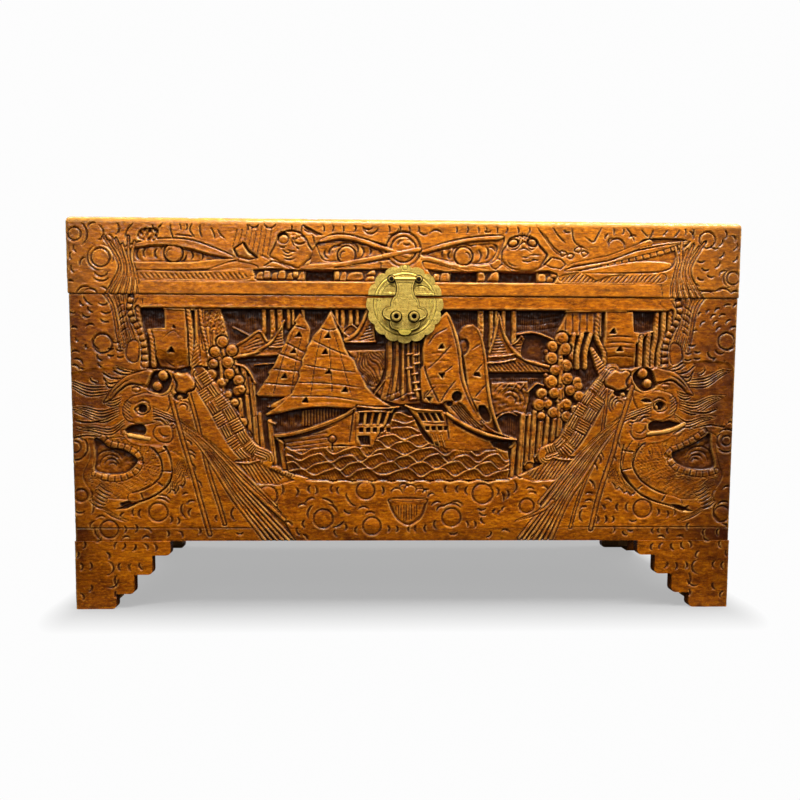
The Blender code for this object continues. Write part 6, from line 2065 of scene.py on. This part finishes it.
view = {"place": (-0.0645, -1.5414, 0.347), "yaw": 1.8695, "pitch": 5.0317, "roll": 0.2551, "lens": 37.96,
        "shift": (0.0101, 0.0733)}
studio = {"floor": "#505050", "underGlow": 0.42, "ambient": 0.16, "overhead": 34, "strip": 76, "side": 12,
          "front": 18, "back": 30}

camera = placed("camera", bpy.data.cameras.new("camera"))
yaw, pitch, roll = (math.radians(view[k]) for k in ("yaw", "pitch", "roll"))
ahead = np.array((math.sin(yaw) * math.cos(pitch), math.cos(yaw) * math.cos(pitch), -math.sin(pitch)))
right = np.cross(ahead, (0, 0, 1))
right /= np.linalg.norm(right)
up = np.cross(right, ahead)
right, up = right * math.cos(roll) + up * math.sin(roll), up * math.cos(roll) - right * math.sin(roll)
camera.matrix_world = Matrix([(right[k], up[k], -ahead[k], view["place"][k]) for k in range(3)]
                             + [(0, 0, 0, 1)])
camera.data.lens, camera.data.sensor_width = view["lens"], 36
camera.data.shift_x, camera.data.shift_y = view["shift"]
bpy.context.scene.camera = camera


def areaLight(name, place, target, size, power):
    light = bpy.data.objects.new(name, bpy.data.lights.new(name, "AREA"))
    light.data.shape, light.data.energy = "RECTANGLE", power
    light.data.size, light.data.size_y = size
    bpy.context.scene.collection.objects.link(light)
    light.rotation_euler = (Vector(target) - Vector(place)).to_track_quat("-Z", "Y").to_euler()
    light.location = place


for way in (-1, 1):
    areaLight("overhead", (1.6 * way, 0.7, 2.2), (0.6 * way, 0, 0.1), (1.1, 1.1), studio["overhead"])
areaLight("strip", (0.3, -0.85, 1.8), (0, -0.2, 0.35), (1.7, 0.3), studio["strip"])
areaLight("side", (1.9, -1.1, 1.2), (0.2, -0.25, 0.35), (0.25, 1.2), studio["side"])
areaLight("front", (-1.1, -3.0, 1.8), (0, 0, 0.3), (1.0, 0.8), studio["front"])
areaLight("back", (0.9, 3.1, 1.2), (0, 0.25, 0.3), (1.8, 1.2), studio["back"])

world = bpy.data.worlds.new("studio")
bpy.context.scene.world = world
world.use_nodes = True
tree = world.node_tree
sky = addNode(tree, "ShaderNodeBackground", {"Color": toLinear("#FFFFFF"), "Strength": studio["ambient"]})
seen = addNode(tree, "ShaderNodeBackground", {"Color": toLinear("#FFFFFF"), "Strength": 0.98})
byCamera = addNode(tree, "ShaderNodeLightPath")
both = addNode(tree, "ShaderNodeMixShader", {0: byCamera, 1: sky, 2: seen})
tree.links.new(both, tree.nodes["World Output"].inputs["Surface"])

floorMesh = bpy.data.meshes.new("floor")
ring = [(9 * math.cos(math.tau * k / 64), 9 * math.sin(math.tau * k / 64), 0) for k in range(64)]
floorMesh.from_pydata(ring, [], [tuple(range(64))])
floor = placed("floor", floorMesh)
floorFinish, tree, shader = newMaterial("pale floor")
# the floor glows for camera rays alone: evenly white further off, dimmer in a rounded box round the chest's
# footprint, a painted shadow there
place = addNode(tree, "ShaderNodeTexCoord", out=3)
away = addNode(tree, "ShaderNodeVectorMath", {0: place, 1: (0, 0.06, 0)}, operation="SUBTRACT")
away = addNode(tree, "ShaderNodeVectorMath", {0: away}, operation="ABSOLUTE")
away = addNode(tree, "ShaderNodeVectorMath", {0: away, 1: (0.49, 0.295, 9)}, operation="SUBTRACT")
away = addNode(tree, "ShaderNodeVectorMath", {0: away, 1: (0, 0, 0)}, operation="MAXIMUM")
away = addNode(tree, "ShaderNodeVectorMath", {0: stretched(tree, away, (2.4, 1, 1))}, 1, operation="LENGTH")
tree.links.new(mixed(tree, ramped(tree, away, 0.0, 0.15), toLinear(studio["floor"]), (0, 0, 0, 1)),
               shader.inputs["Base Color"])
glow = mathOf(tree, "MULTIPLY", ramped(tree, away, 0.0, 0.15, studio["underGlow"], 0.98),
              addNode(tree, "ShaderNodeLightPath"))
tree.links.new(glow, shader.inputs["Emission Strength"])
shader.inputs["Emission Color"].default_value = (1, 1, 1, 1)
shader.inputs["Roughness"].default_value = 1.0
shader.inputs["Specular IOR Level"].default_value = 0.0
floorMesh.materials.append(floorFinish)
bpy.context.scene.view_settings.view_transform = "Standard"
